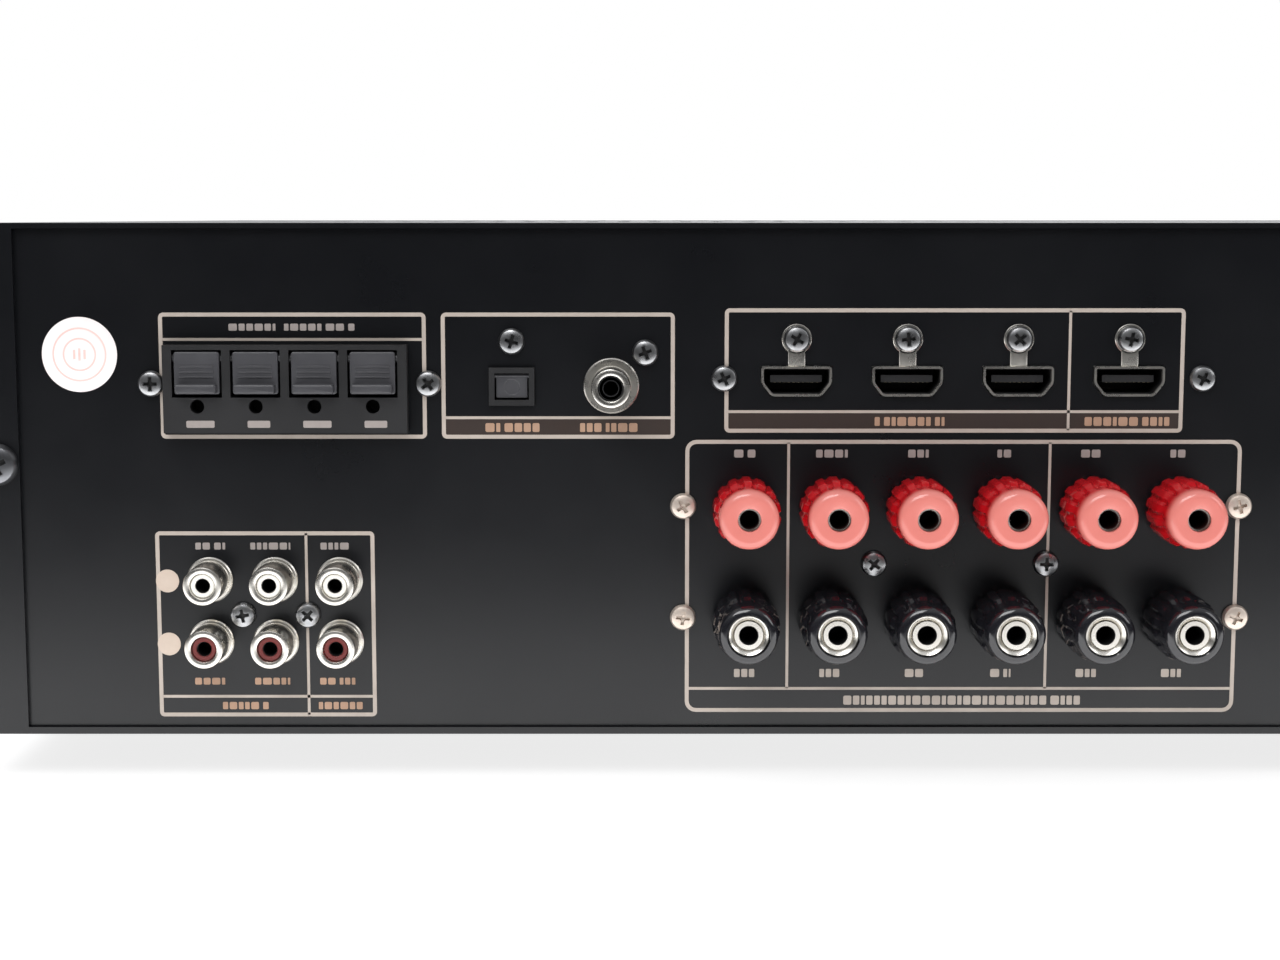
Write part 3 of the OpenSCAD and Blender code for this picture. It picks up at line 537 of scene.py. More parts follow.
# Dark anodised knob aluminium of the front.
KNOB_METAL = Brushed(
    "dark_anodised_knob", "85868a", "6c6d70", 0.28, metallic=1.0, grain_mm=0.2, depth_um=4,
    mottle_mm=12, along=(1.0, 0.02, 1.0),
)
# Green glass-fibre laminate with solder resist: glossy green with a faint weave.
GREEN_LAMINATE = Speckled(
    "green_laminate", "1d4a2c", "235a35", 0.3, grain_mm=0.6, depth_um=8, fleck="3f7d55",
    fleck_mm=0.9,
)
# Brown paper laminate of the amplifier board.
BROWN_LAMINATE = Speckled(
    "brown_paper_laminate", "8a6a35", "75582a", 0.45, grain_mm=0.6, depth_um=8, fleck="5d4520",
    fleck_mm=1.4,
)
# Extruded aluminium of the heatsink: dull silver with lines along the extrusion.
EXTRUDED = Brushed(
    "extruded_aluminium", "a3a5a8", "8f9194", 0.45, metallic=1.0, grain_mm=0.5, depth_um=8,
    along=(1.0, 1.0, 0.02),
)
# Varnished polyester tape round the transformer.
WOUND_TAPE = Banded(
    "varnished_tape", "c98f2e", "b77d22", 0.35, grain_mm=1.5, depth_um=30, band="7a4f12",
    bands=72,
)
# Shrink sleeve of the capacitors: dark blue and glossy.
SHRINK_SLEEVE = Finish(
    "shrink_sleeve", "1a2142", "232c52", 0.22, grain_mm=3, depth_um=15, mottle_mm=14,
)


class PostColour(Enum):
    """The two rows of speaker posts."""

    RED = "red"
    BLACK = "black"

    @property
    def cap(self) -> Finish:
        """What the row's caps are made of."""
        return CLEAR_RED if self is PostColour.RED else CLEAR_SMOKE

    @property
    def lining(self) -> Finish:
        """The painted shade that lines the bores of the row's studs."""
        return RED_HOLLOW_SHADE if self is PostColour.RED else BLACK_HOLLOW_SHADE


class Side(Enum):
    """The two sides of the amplifier, by the sign of x."""

    LEFT = -1
    RIGHT = 1


# The finish of each CAD node that is shown with its own shape.
NODE_FINISHES: dict[str, Finish] = {
    "chassis_tray": POWDER_COAT,
    "rear_panel": POWDER_COAT,
    "top_cover": POWDER_COAT,
    "front_panel": FRONT_PLATE,
    "display_window": SMOKED_ACRYLIC,
    "antenna_terminal_block": BLACK_ABS,
    "optical_socket": BLACK_ABS,
    "jack_housings": BLACK_ABS,
    "video_socket_tongues": BLACK_ABS,
    "speaker_terminal_board": BLACK_ABS,
    "post_studs": NICKEL,
    "mains_inlet": BLACK_ABS,
    "mains_pins": NICKEL,
    "control_board": GREEN_LAMINATE,
    "transformer": WOUND_TAPE,
    "heatsink": EXTRUDED,
    "output_transistors": BLACK_ABS,
    "amplifier_board": BROWN_LAMINATE,
    "filter_capacitors": SHRINK_SLEEVE,
    "digital_board": GREEN_LAMINATE,
    "board_standoffs": TURNED_BRASS,
}


# ---- Forms and pieces ----


class Shape:
    """A closed form in millimetres on its own axes, made with bmesh operators."""

    def __init__(self) -> None:
        """Starts with nothing in it."""
        self.bm = bmesh.new()

    @classmethod
    def turned(cls, profile: Profile, steps: int = 48, ring: bool = False) -> Shape:
        """Turns a profile about z.

        Args:
            profile: Points as (radius, height). Unless it is a ring, its two ends lie on the axis.
            steps: Facets round the turn.
            ring: Whether the profile closes on itself, as round a bore.

        Returns:
            The turned form.
        """
        shape = cls()
        points = [shape.bm.verts.new((radius, 0.0, height)) for radius, height in profile]
        pairs = list(zip(points, points[1:])) + ([(points[-1], points[0])] if ring else [])
        edges = [shape.bm.edges.new(pair) for pair in pairs]
        bmesh.ops.spin(
            shape.bm,
            geom=points + edges,
            cent=(0, 0, 0),
            axis=(0, 0, 1),
            angle=2 * math.pi,
            steps=steps,
            use_merge=True,
        )
        shape.close()
        return shape

    @classmethod
    def block(cls, width: float, height: float, depth: float, corner: float = 0.0, rim: float = 0.0) -> Shape:
        """A plate on z = 0 with rounded upright edges and a rounded front rim.

        Args:
            width: Size along x.
            height: Size along y.
            depth: Size along z.
            corner: Radius of the four upright edges.
            rim: Radius round the front face.

        Returns:
            The block, centred on x and y.
        """
        shape = cls()
        bmesh.ops.create_cube(shape.bm, size=1.0)
        bmesh.ops.scale(shape.bm, vec=(width, height, depth), verts=shape.bm.verts)
        bmesh.ops.translate(shape.bm, vec=(0, 0, depth / 2), verts=shape.bm.verts)
        if corner:
            shape.round_edges(
                lambda e: abs((e.verts[0].co - e.verts[1].co).z) > depth / 2, corner, CORNER_STEPS
            )
        if rim:
            shape.round_edges(lambda e: all(abs(v.co.z - depth) < TOUCH for v in e.verts), rim, RIM_STEPS)
        return shape

    @classmethod
    def flat(cls, points: Profile, depth: float, corner: float = 0.0) -> Shape:
        """A plate on z = 0 with a free outline.

        Args:
            points: The outline's corners, as x and y.
            depth: Size along z.
            corner: Radius of the outline's corners.

        Returns:
            The plate.
        """
        shape = cls()
        face = shape.bm.faces.new([shape.bm.verts.new((x, y, 0.0)) for x, y in points])
        if corner:
            bmesh.ops.bevel(
                shape.bm,
                geom=list(face.verts),
                offset=corner,
                segments=CORNER_STEPS - 1,
                profile=0.5,
                affect="VERTICES",
                material=-1,
            )
        shape.raise_faces(depth)
        return shape

    @classmethod
    def outline(cls, points: Profile, line: float, depth: float, corner: float) -> Shape:
        """A raised line of even width that follows the inside of an outline.

        Args:
            points: The outline's corners, as x and y.
            line: The line's width.
            depth: Size along z.
            corner: Radius of the outline's corners.

        Returns:
            The raised line.
        """
        shape = cls()
        face = shape.bm.faces.new([shape.bm.verts.new((x, y, 0.0)) for x, y in points])
        bmesh.ops.bevel(
            shape.bm,
            geom=list(face.verts),
            offset=corner,
            segments=CORNER_STEPS,
            profile=0.5,
            affect="VERTICES",
            material=-1,
        )
        inner = list(shape.bm.faces)
        bmesh.ops.inset_region(
            shape.bm, faces=inner, thickness=line, use_boundary=True, use_even_offset=True
        )
        bmesh.ops.delete(shape.bm, geom=inner, context="FACES_ONLY")
        shape.raise_faces(depth)
        return shape

    def raise_faces(self, depth: float) -> None:
        """Gives the flat faces a thickness along z.

        Args:
            depth: The thickness.
        """
        made = bmesh.ops.extrude_face_region(self.bm, geom=list(self.bm.faces), use_keep_orig=True)
        lifted = [item for item in made["geom"] if isinstance(item, bmesh.types.BMVert)]
        bmesh.ops.translate(self.bm, vec=(0, 0, depth), verts=lifted)
        self.close()

    def round_edges(
        self, chosen: Callable[[bmesh.types.BMEdge], bool], radius: float, segments: int
    ) -> None:
        """Rounds some of the edges.

        Args:
            chosen: Says of an edge whether it is rounded.
            radius: How far the round reaches from the edge.
            segments: Steps in the round.
        """
        bmesh.ops.bevel(
            self.bm,
            geom=[edge for edge in self.bm.edges if chosen(edge)],
            offset=radius,
            segments=segments,
            profile=0.5,
            affect="EDGES",
            material=-1,
        )

    def close(self) -> None:
        """Merges doubles and turns every face outwards."""
        bmesh.ops.remove_doubles(self.bm, verts=self.bm.verts, dist=TOUCH)
        bmesh.ops.recalc_face_normals(self.bm, faces=self.bm.faces)

    def moved(self, z: float = 0.0, turn: Matrix | None = None) -> Shape:
        """Turns the form, if a turn is given, and then lifts it.

        Args:
            z: How far it goes along z.
            turn: A turn about the origin.

        Returns:
            This shape.
        """
        place = Matrix.Translation((0, 0, z)) @ (turn or Matrix.Identity(4))
        bmesh.ops.transform(self.bm, matrix=place, verts=self.bm.verts)
        return self

    def cut(self, tools: Sequence[Shape]) -> Shape:
        """Cuts other forms out of this one with the Boolean modifier.

        Args:
            tools: The forms to take away. They are used up.

        Returns:
            This shape.
        """
        target = self._object("cut_target")
        cutters = [tool._object("cut_tool") for tool in tools]
        for cutter in cutters:
            step = target.modifiers.new("cut", "BOOLEAN")
            step.operation, step.object, step.solver = "DIFFERENCE", cutter, "EXACT"
        bpy.context.view_layer.update()
        evaluated = target.evaluated_get(bpy.context.evaluated_depsgraph_get())
        self.bm.clear()
        self.bm.from_mesh(evaluated.to_mesh())
        evaluated.to_mesh_clear()
        for item in [target, *cutters]:
            mesh = item.data
            bpy.data.objects.remove(item)
            bpy.data.meshes.remove(mesh)
        bmesh.ops.remove_doubles(self.bm, verts=self.bm.verts, dist=TOUCH)
        return self

    def _object(self, name: str) -> bpy.types.Object:
        """Makes a scratch object that holds this form.

        Args:
            name: The object's name.

        Returns:
            The object.
        """
        mesh = bpy.data.meshes.new(name)
        self.bm.to_mesh(mesh)
        item = bpy.data.objects.new(name, mesh)
        bpy.context.scene.collection.objects.link(item)
        return item


class Piece:
    """A shown piece: forms put together in the row frame, each with its finish."""

    def __init__(self, name: str, slot: str, body: str = "amplifier") -> None:
        """Starts an empty piece.

        Args:
            name: The piece's name.
            slot: The record's material slot; it is kept but not used.
            body: The CAD body that it rides on.
        """
        self.name, self.slot, self.body = name, slot, body
        self.bm = bmesh.new()
        self.finishes: list[Finish] = []

    def add(self, shape: Shape, place: Matrix, finish: Finish) -> Piece:
        """Puts a copy of a form at a place.

        Args:
            shape: The form, in millimetres.
            place: From the form's axes to the row frame.
            finish: What it is made of.

        Returns:
            This piece.
        """
        if finish not in self.finishes:
            self.finishes.append(finish)
        mesh = bpy.data.meshes.new("step")
        shape.bm.to_mesh(mesh)
        verts, faces = len(self.bm.verts), len(self.bm.faces)
        self.bm.from_mesh(mesh)
        bpy.data.meshes.remove(mesh)
        self.bm.verts.ensure_lookup_table()
        self.bm.faces.ensure_lookup_table()
        bmesh.ops.transform(self.bm, matrix=place, verts=self.bm.verts[verts:])
        for face in self.bm.faces[faces:]:
            face.material_index = self.finishes.index(finish)
        return self

    def show(self, *replaces: str, crease: float = 32.0) -> bpy.types.Object:
        """Makes the object, rides it on its body and hides the nodes that it stands for.

        Args:
            replaces: CAD nodes that this piece stands for.
            crease: Edges sharper than this many degrees stay sharp.

        Returns:
            The finished object.
        """
        mesh = bpy.data.meshes.new(self.name)
        for face in self.bm.faces:
            face.smooth = True
        self.bm.to_mesh(mesh)
        self.bm.free()
        mesh.set_sharp_from_angle(angle=math.radians(crease))
        for finish in self.finishes:
            mesh.materials.append(finish.material())
        item = bpy.data.objects.new(self.name, mesh)
        bpy.context.scene.collection.objects.link(item)
        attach(item, self.body)
        if replaces:
            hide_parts(*replaces)
        LOG.info("%s: %d faces on %s", self.name, len(mesh.polygons), self.body)
        return item


@dataclass
class Layout:
    """Where things lie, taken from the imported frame, in millimetres."""

    frame: dict
    rear_y: float = field(init=False)
    front_y: float = field(init=False)
    foot_h: float = field(init=False)
    half_w: float = field(init=False)
    mounts: dict[str, Vector] = field(init=False)

    def __post_init__(self) -> None:
        """Reads the boxes of the panels and the places of the mounts."""
        self.rear_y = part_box("rear_panel")[0].y / MM
        self.half_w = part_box("top_cover")[1].x / MM
        self.foot_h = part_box("chassis_tray")[0].z / MM
        self.front_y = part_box("front_panel")[1].y / MM
        self.mounts = {
            m["name"]: Vector(m["pos_m"]) / MM for m in self.frame["record"]["mounts"] if "pos_m" in m
        }

    def on_rear(self, x: float, z: float, out: float = 0.0, spin: float = 0.0) -> Matrix:
        """A place on the rear panel's face.

        Args:
            x: Across the panel.
            z: Above the tray's underside.
            out: Out of the panel's face.
            spin: Turn about the axis that points out, in degrees.

        Returns:
            From a form's axes to the row frame, in metres.
        """
        where = Vector((x, self.rear_y - out, self.foot_h + z)) * MM
        turn = Matrix.Rotation(math.radians(90), 4, "X") @ Matrix.Rotation(math.radians(spin), 4, "Z")
        return Matrix.Translation(where) @ turn @ Matrix.Scale(MM, 4)

    def on_front(self, x: float, z: float, out: float = 0.0, spin: float = 0.0) -> Matrix:
        """A place on the front panel's face.

        Args:
            x: Across the panel.
            z: Above the tray's underside.
            out: Out of the panel's face.
            spin: Turn about the axis that points out, in degrees.

        Returns:
            From a form's axes to the row frame, in metres.
        """
        where = Vector((x, self.front_y + out, self.foot_h + z)) * MM
        turn = (
            Matrix.Rotation(math.radians(180), 4, "Z")
            @ Matrix.Rotation(math.radians(90), 4, "X")
            @ Matrix.Rotation(math.radians(spin), 4, "Z")
        )
        return Matrix.Translation(where) @ turn @ Matrix.Scale(MM, 4)

    def on_side(self, side: Side, depth: float, z: float) -> Matrix:
        """A place on one of the cover's sides, with z out of it.

        Args:
            side: Which side.
            depth: From the rear panel towards the front.
            z: Above the tray's underside.

        Returns:
            From a form's axes to the row frame, in metres.
        """
        where = Vector((side.value * self.half_w, self.rear_y + depth, self.foot_h + z)) * MM
        turn = Matrix.Rotation(math.radians(90 * side.value), 4, "Y")
        return Matrix.Translation(where) @ turn @ Matrix.Scale(MM, 4)

    def mount_xz(self, name: str) -> tuple[float, float]:
        """Where a mount lies on the rear panel.

        Args:
            name: The mount's name.

        Returns:
            Its x, and its height above the tray's underside.
        """
        place = self.mounts[name]
        return place.x, place.z - self.foot_h


# ---- Sub-assemblies ----


@dataclass
class SpeakerPosts:
    """Twelve speaker posts: a screw cap with its insert on each stud."""

    layout: Layout
    columns: int = 6
    base_out: float = 1.3
    cap_len: float = 18.7
    skirt_len: float = 11.5
    skirt_r: float = 7.1
    front_r: float = 6.2
    bore_r: float = 4.35
    lobes: int = 14
    lobe_steps: int = 8
    groove: float = 0.55
    groove_shape: float = 0.8
    insert_in_r: float = 3.05
    insert_out_r: float = 4.3
    insert_from: float = 3.83
    insert_to: float = 18.1
    stud_bore_r: float = 2.03
    stud_bore_from: float = 5.0
    stud_bore_to: float = 17.4

    def build(self) -> None:
        """Makes a cap and an insert for each post."""
        cap, wall, insert, lining = self.cap(), self.end_wall(), self.insert(), self.lining()
        number = 0
        for row in PostColour:
            hollow_shades = Piece(f"{row.value}_post_linings", f"{row.value}_moulding")
            for column in range(1, self.columns + 1):
                number += 1
                x, z = self.layout.mount_xz(f"speaker_{row.value}_{column}")
                place = self.layout.on_rear(x, z, self.base_out)
                made = Piece(f"cap_{number}", f"{row.value}_cap", f"post_cap_{number}")
                made.add(cap, place, row.cap)
                if row is PostColour.RED:
                    made.add(wall, place, row.cap)
                made.show(f"post_cap_{number}")
                made = Piece(f"insert_{number}", "brass", f"post_insert_{number}")
                made.add(insert, place, NICKEL)
                made.show(f"post_insert_{number}")
                # a dark sheet in each stud's bore paints the shade of the hole
                hollow_shades.add(lining, place, row.lining)
            hollow_shades.show()

    def cap(self) -> Shape:
        """The cap: a fluted skirt and a smooth nose, open through its middle.

        Returns:
            The cap, with its back on z = 0.
        """
        nose = self.cap_len
        shape = Shape.turned(
            [
                (self.bore_r, 0.0),
                (self.skirt_r - 0.7, 0.0),
                (self.skirt_r - 0.1, 0.5),
                (self.skirt_r, 1.4),
                (self.skirt_r, 5.6),
                (self.skirt_r, 9.8),
                (self.skirt_r - 0.25, 10.7),
                (self.front_r + 0.25, self.skirt_len),
                (self.front_r, self.skirt_len + 0.7),
                (self.front_r, nose - 1.5),
                (self.front_r - 0.25, nose - 0.75),
                (self.front_r - 0.75, nose - 0.25),
                (self.front_r - 1.4, nose),
                (self.bore_r + 0.15, nose),
                (self.bore_r, nose - 0.15),
            ],
            steps=self.lobes * self.lobe_steps,
            ring=True,
        )
        for vert in shape.bm.verts:
            radius = vert.co.xy.length
            if radius > self.front_r + 0.2 and vert.co.z < self.skirt_len + 0.1:
                angle = math.atan2(vert.co.y, vert.co.x)
                dip = max(0.0, math.cos(self.lobes * angle)) ** self.groove_shape * self.groove
                vert.co.xy *= (radius - dip) / radius
        return shape

    def end_wall(self) -> Shape:
        """The end wall of a red cap, which leaves only the plug's hole open.

        Returns:
            The wall, in the cap's place.
        """
        top = self.cap_len
        return Shape.turned(
            [
                (2.35, top - 0.5),
                (4.6, top - 0.5),
                (4.6, top + 0.01),
                (2.75, top + 0.01),
                (2.45, top - 0.1),
            ],
            ring=True,
        )

    def lining(self) -> Shape:
        """A dark sheet of painted shade in a stud's bore, with its closed end.

        Returns:
            The lining, in the cap's place.
        """
        outer, low, top = self.stud_bore_r, self.stud_bore_from, self.stud_bore_to
        inner, floor = outer - 0.1, low + 0.2
        return Shape.turned(
            [(0, low), (outer, low), (outer, top - 0.05), (inner, top), (inner, floor), (0, floor)]
        )

    def insert(self) -> Shape:
        """The metal insert, with a front that slopes in towards the stud.

        Returns:
            The insert, in the cap's place.
        """
        low, top, inner, outer = self.insert_from, self.insert_to, self.insert_in_r, self.insert_out_r
        return Shape.turned(
            [
                (inner, low),
                (outer, low),
                (outer, top - 0.2),
                (outer - 0.08, top - 0.05),
                (outer - 0.22, top),
                (outer - 0.36, top - 0.08),
                (inner + 0.08, top - 0.85),
                (inner, top - 1.0),
            ],
            ring=True,
        )


@dataclass
class LineJacks:
    """Six line jacks and the coaxial jack: nickel barrels with nylon insulators."""

    layout: Layout
    barrel_r: float = 4.15
    bore_r: float = 2.65
    reach: float = 9.0
    rim: float = 0.45
    root: float = 3.0
    hole_r: float = 1.6
    setback: float = 0.6
    insulator_root: float = 2.0
    hole_floor: float = 1.0
    base_r: float = 4.95
    base_h: float = 0.8
    flange_r: float = 5.9
    flange_h: float = 1.2

    def build(self) -> None:
        """Makes the barrels as one piece and the insulators by colour."""
        upper = [f"line_upper_{i}" for i in range(1, 4)]
        lower = [f"line_lower_{i}" for i in range(1, 4)]
        shells = Piece("line_jack_barrels", "nickel")
        barrel = self.barrel(self.base_r, self.base_h)
        for name in upper + lower:
            shells.add(barrel, self.layout.on_rear(*self.layout.mount_xz(name)), NICKEL)
        coax = self.layout.on_rear(*self.layout.mount_xz("coaxial_in"))
        shells.add(self.barrel(self.flange_r, self.flange_h), coax, NICKEL)
        shells.show("jack_shells")
        for row, names, finish in (("white", upper, WHITE_NYLON), ("red", lower, RED_NYLON)):
            made = Piece(f"{row}_insulators", f"{row}_moulding")
            for name in names:
                place = self.layout.on_rear(*self.layout.mount_xz(name))
                made.add(self.insulator(), place, finish).add(self.hole_shade_sleeve(), place, BLACK_HOLLOW_SHADE)
            if row == "white":
                made.add(self.insulator(), coax, BLACK_ABS)
            made.show(f"{row}_jack_inserts")

    def barrel(self, flange_r: float, flange_h: float) -> Shape:
        """A barrel with a rolled front rim and a flange on the panel.

        Args:
            flange_r: The flange's radius.
            flange_h: How far the flange stands out of the panel.

        Returns:
            The barrel, with the panel's face at z = 0.
        """
        rim = self.rim
        return Shape.turned(
            [
                (self.bore_r, -self.root),
                (self.barrel_r, -self.root),
                (self.barrel_r, 0.0),
                (flange_r, 0.0),
                (flange_r, flange_h - 0.25),
                (flange_r - 0.25, flange_h),
                (self.barrel_r + 0.1, flange_h),
                (self.barrel_r, flange_h + 0.1),
                (self.barrel_r, self.reach - rim),
                (self.barrel_r - 0.13, self.reach - 0.13),
                (self.barrel_r - rim, self.reach),
                (self.bore_r + rim, self.reach),
                (self.bore_r + 0.13, self.reach - 0.13),
                (self.bore_r, self.reach - rim),
            ],
            ring=True,
        )

    def hole_shade_sleeve(self) -> Shape:
        """A dark sleeve of painted shade in an insulator's hole.

        Returns:
            The sleeve with its floor, in the barrel's place.
        """
        outer, top = self.hole_r - 0.02, self.reach - self.setback - 0.5
        inner, low, floor = outer - 0.1, self.hole_floor + 0.1, self.hole_floor + 0.3
        sleeve = [(0, low), (outer, low), (outer, top), (inner, top), (inner, floor), (0, floor)]
        return Shape.turned(sleeve)

    def insulator(self) -> Shape:
        """The insulator, with the pin's hole that ends in its contact.

        Returns:
            The insulator, in the barrel's place.
        """
        top, outer = self.reach - self.setback, self.bore_r - 0.1
        return Shape.turned(
            [
                (0.0, -self.insulator_root),
                (outer, -self.insulator_root),
                (outer, top - 0.15),
                (outer - 0.15, top),
                (self.hole_r + 0.15, top),
                (self.hole_r, top - 0.15),
                (self.hole_r, self.hole_floor),
                (0.0, self.hole_floor),
            ]
        )


def hinge_pin(radius: float, half: float, steps: int) -> Shape:
    """A hinge pin along x.

    Args:
        radius: The pin's radius.
        half: Half its length.
        steps: Facets round it.

    Returns:
        The pin, centred on the origin.
    """
    pin = Shape.turned([(0, -half), (radius, -half), (radius, half), (0, half)], steps)
    return pin.moved(turn=Matrix.Rotation(math.radians(90), 4, "Y"))


@dataclass
class AntennaTerminals:
    """Four push levers in the terminal block."""

    layout: Layout
    count: int = 4
    lever_w: float = 9.6
    lever_h: float = 9.0
    lever_t: float = 2.0
    ledge_t: float = 2.6
    ledge_h: float = 2.0
    ledge_up: float = 1.2
    sunk: float = 0.5
    ribs: int = 3
    rib_h: float = 0.45
    rib_pitch: float = 1.1
    rib_low: float = -0.8
    pin_r: float = 0.9
    pin_drop: float = 1.4
    pin_in: float = 1.8
    mark_widths: tuple[float, float] = (4.8, 6.0)
    mark_h: float = 1.5
    mark_dx: float = 0.6
    mark_z: float = 67.6
    block_out: float = 3.2

    def build(self) -> None:
        """Makes each lever in the place of its node, and a printed mark under it."""
        marks = Piece("terminal_marks", "white_moulding")
        for number in range(1, self.count + 1):
            node = f"antenna_lever_{number}"
            low, high = (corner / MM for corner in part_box(node))
            x = (low.x + high.x) / 2
            middle = (low.z + high.z) / 2 - self.layout.foot_h
            face_out = self.layout.rear_y - low.y
            made = Piece(f"push_lever_{number}", "grey_moulding", node)
            self.lever(made, x, middle, face_out, (high.x - low.x) / 2)
            made.show(node)
            mark = Shape.block(self.mark_widths[number % 2], self.mark_h, INK_T, corner=0.3)
            marks.add(mark, self.layout.on_rear(x + self.mark_dx, self.mark_z, self.block_out), GREY_INK)
        marks.show()

    def lever(self, made: Piece, x: float, z: float, tip_out: float, half_pin: float) -> None:
        """Adds a lever's plate, ledge, ribs and pin.

        Args:
            made: The piece to add to.
            x: The lever's middle across the panel.
            z: Its middle height.
            tip_out: How far its ledge reaches out of the panel.
            half_pin: Half the length of its pin.
        """
        back = tip_out - self.ledge_t
        plate_out = back + self.sunk - self.lever_t
        plate = Shape.block(self.lever_w, self.lever_h, self.lever_t, corner=0.5, rim=0.3)
        made.add(plate, self.layout.on_rear(x, z, plate_out), GREY_ABS)
        ledge = Shape.block(self.lever_w - 1, self.ledge_h, self.ledge_t, corner=0.4, rim=0.4)
        made.add(ledge, self.layout.on_rear(x, z - self.lever_h / 2 + self.ledge_up, back), GREY_ABS)
        for step in range(self.ribs):
            rib = Shape.block(self.lever_w - 2.4, self.rib_h, 0.25, rim=0.12)
            height = z + self.rib_low + self.rib_pitch * step
            made.add(rib, self.layout.on_rear(x, height, plate_out + self.lever_t - 0.05), GREY_ABS)
        pin = hinge_pin(self.pin_r, half_pin, 24)
        pin_z = z + self.lever_h / 2 - self.pin_drop
        made.add(pin, self.layout.on_rear(x, pin_z, back + self.sunk - self.pin_in), GREY_ABS)


@dataclass
class OpticalShutter:
    """The dust shutter of the optical socket."""

    layout: Layout
    thick: float = 0.8
    pin_r: float = 0.45
    pin_end: float = 0.8
    dish_r: float = 2.0

    def build(self) -> None:
        """Makes the shutter with a shallow dish in its face."""
        low, high = (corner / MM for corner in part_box("optical_shutter"))
        x = (low.x + high.x) / 2
        pin_z = high.z - self.layout.foot_h - self.pin_r
        pin_out = self.layout.rear_y - (low.y + high.y) / 2
        half_pin = (high.x - low.x) / 2
        width = 2 * (half_pin - self.pin_end)
        height = high.z - low.z - self.pin_r
        bottom = low.z - self.layout.foot_h
        made = Piece("dust_shutter", "grey_moulding", "optical_shutter")
        door = Shape.block(width, height, self.thick, corner=0.3, rim=0.15)
        rim = self.dish_r
        dish = Shape.turned([(0, 0.6), (rim - 0.4, 0.7), (rim, 1.0), (rim, 2.0), (0, 2.0)], 32)
        door.cut([dish])
        made.add(door, self.layout.on_rear(x, bottom + height / 2, pin_out - self.thick / 2), GREY_ABS)
        made.add(hinge_pin(self.pin_r, half_pin, 20), self.layout.on_rear(x, pin_z, pin_out), GREY_ABS)
        made.show("optical_shutter")


@dataclass
class VideoSockets:
    """Four video sockets: folded nickel shells with a screw tab above."""

    layout: Layout
    width: float = 15.0
    height: float = 6.4
    slant: float = 2.2
    slant_rise: float = 0.6
    corner: float = 0.7
    wall: float = 0.5
    lining: float = 0.12
    hollow_shade_back: float = 0.7
    length: float = 11.0
    reach: float = 0.8
    tab_up: float = 9.0
    tab_w: float = 3.6
    ring_r: float = 3.2
    ring_hole_r: float = 1.5
    pins: int = 10
    pin_w: float = 0.45
    pin_t: float = 0.12
    pin_len: float = 7.0
    pin_drop: float = 0.3
    pin_back: float = 8.2

    def build(self) -> None:
        """Makes the shells as one piece and their contacts as another."""
        deep = self.length + self.reach
        shells = Piece("video_socket_shells_folded", "nickel")
        contacts = Piece("video_socket_contacts", "brass")
        for number in range(1, 5):
            x, z = self.layout.mount_xz(f"video_{number}")
            shell = Shape.outline(self.shape(0.0), self.wall, deep, self.corner)
            shells.add(shell, self.layout.on_rear(x, z, -self.length), NICKEL)
            # a thin dark sheet inside each shell is painted shade
            inner_shade = Shape.outline(
                self.shape(self.wall), self.lining, deep - self.hollow_shade_back, self.corner - 0.3
            )
            shells.add(inner_shade, self.layout.on_rear(x, z, -self.length), BLACK_HOLLOW_SHADE)
            tab = Shape.block(self.tab_w, self.tab_up - self.height / 2, self.wall, rim=0.12)
            shells.add(tab, self.layout.on_rear(x, z + (self.height / 2 + self.tab_up) / 2), NICKEL)
            shells.add(self.ring(), self.layout.on_rear(x, z + self.tab_up), NICKEL)
            for pin in range(self.pins):
                strip = Shape.block(self.pin_w, self.pin_t, self.pin_len)
                place = self.layout.on_rear(x + pin - (self.pins - 1) / 2, z - self.pin_drop, -self.pin_back)
                contacts.add(strip, place, TURNED_BRASS)
        shells.show("video_socket_shells")
        contacts.show()

    def ring(self) -> Shape:
        """The ring of the tab, which the screw holds.

        Returns:
            The ring, on z = 0.
        """
        hole, outer, thick = self.ring_hole_r, self.ring_r, self.wall
        return Shape.turned(
            [(hole, 0), (outer, 0), (outer, thick - 0.12), (outer - 0.12, thick), (hole, thick)], ring=True
        )

    def shape(self, inset: float) -> list[tuple[float, float]]:
        """The socket's outline, with its two lower corners cut.

        Args:
            inset: How far it is drawn in.

        Returns:
            The outline's corners, as x and y.
        """
        half_w, half_h = self.width / 2 - inset, self.height / 2 - inset
        drawn = inset * 0.4
        side = -self.height / 2 + self.slant + self.slant_rise + drawn
        low = self.width / 2 - self.slant - drawn
        left = [(-half_w, half_h), (-half_w, side), (-low, -half_h)]
        return left + [(-x, y) for x, y in reversed(left)]


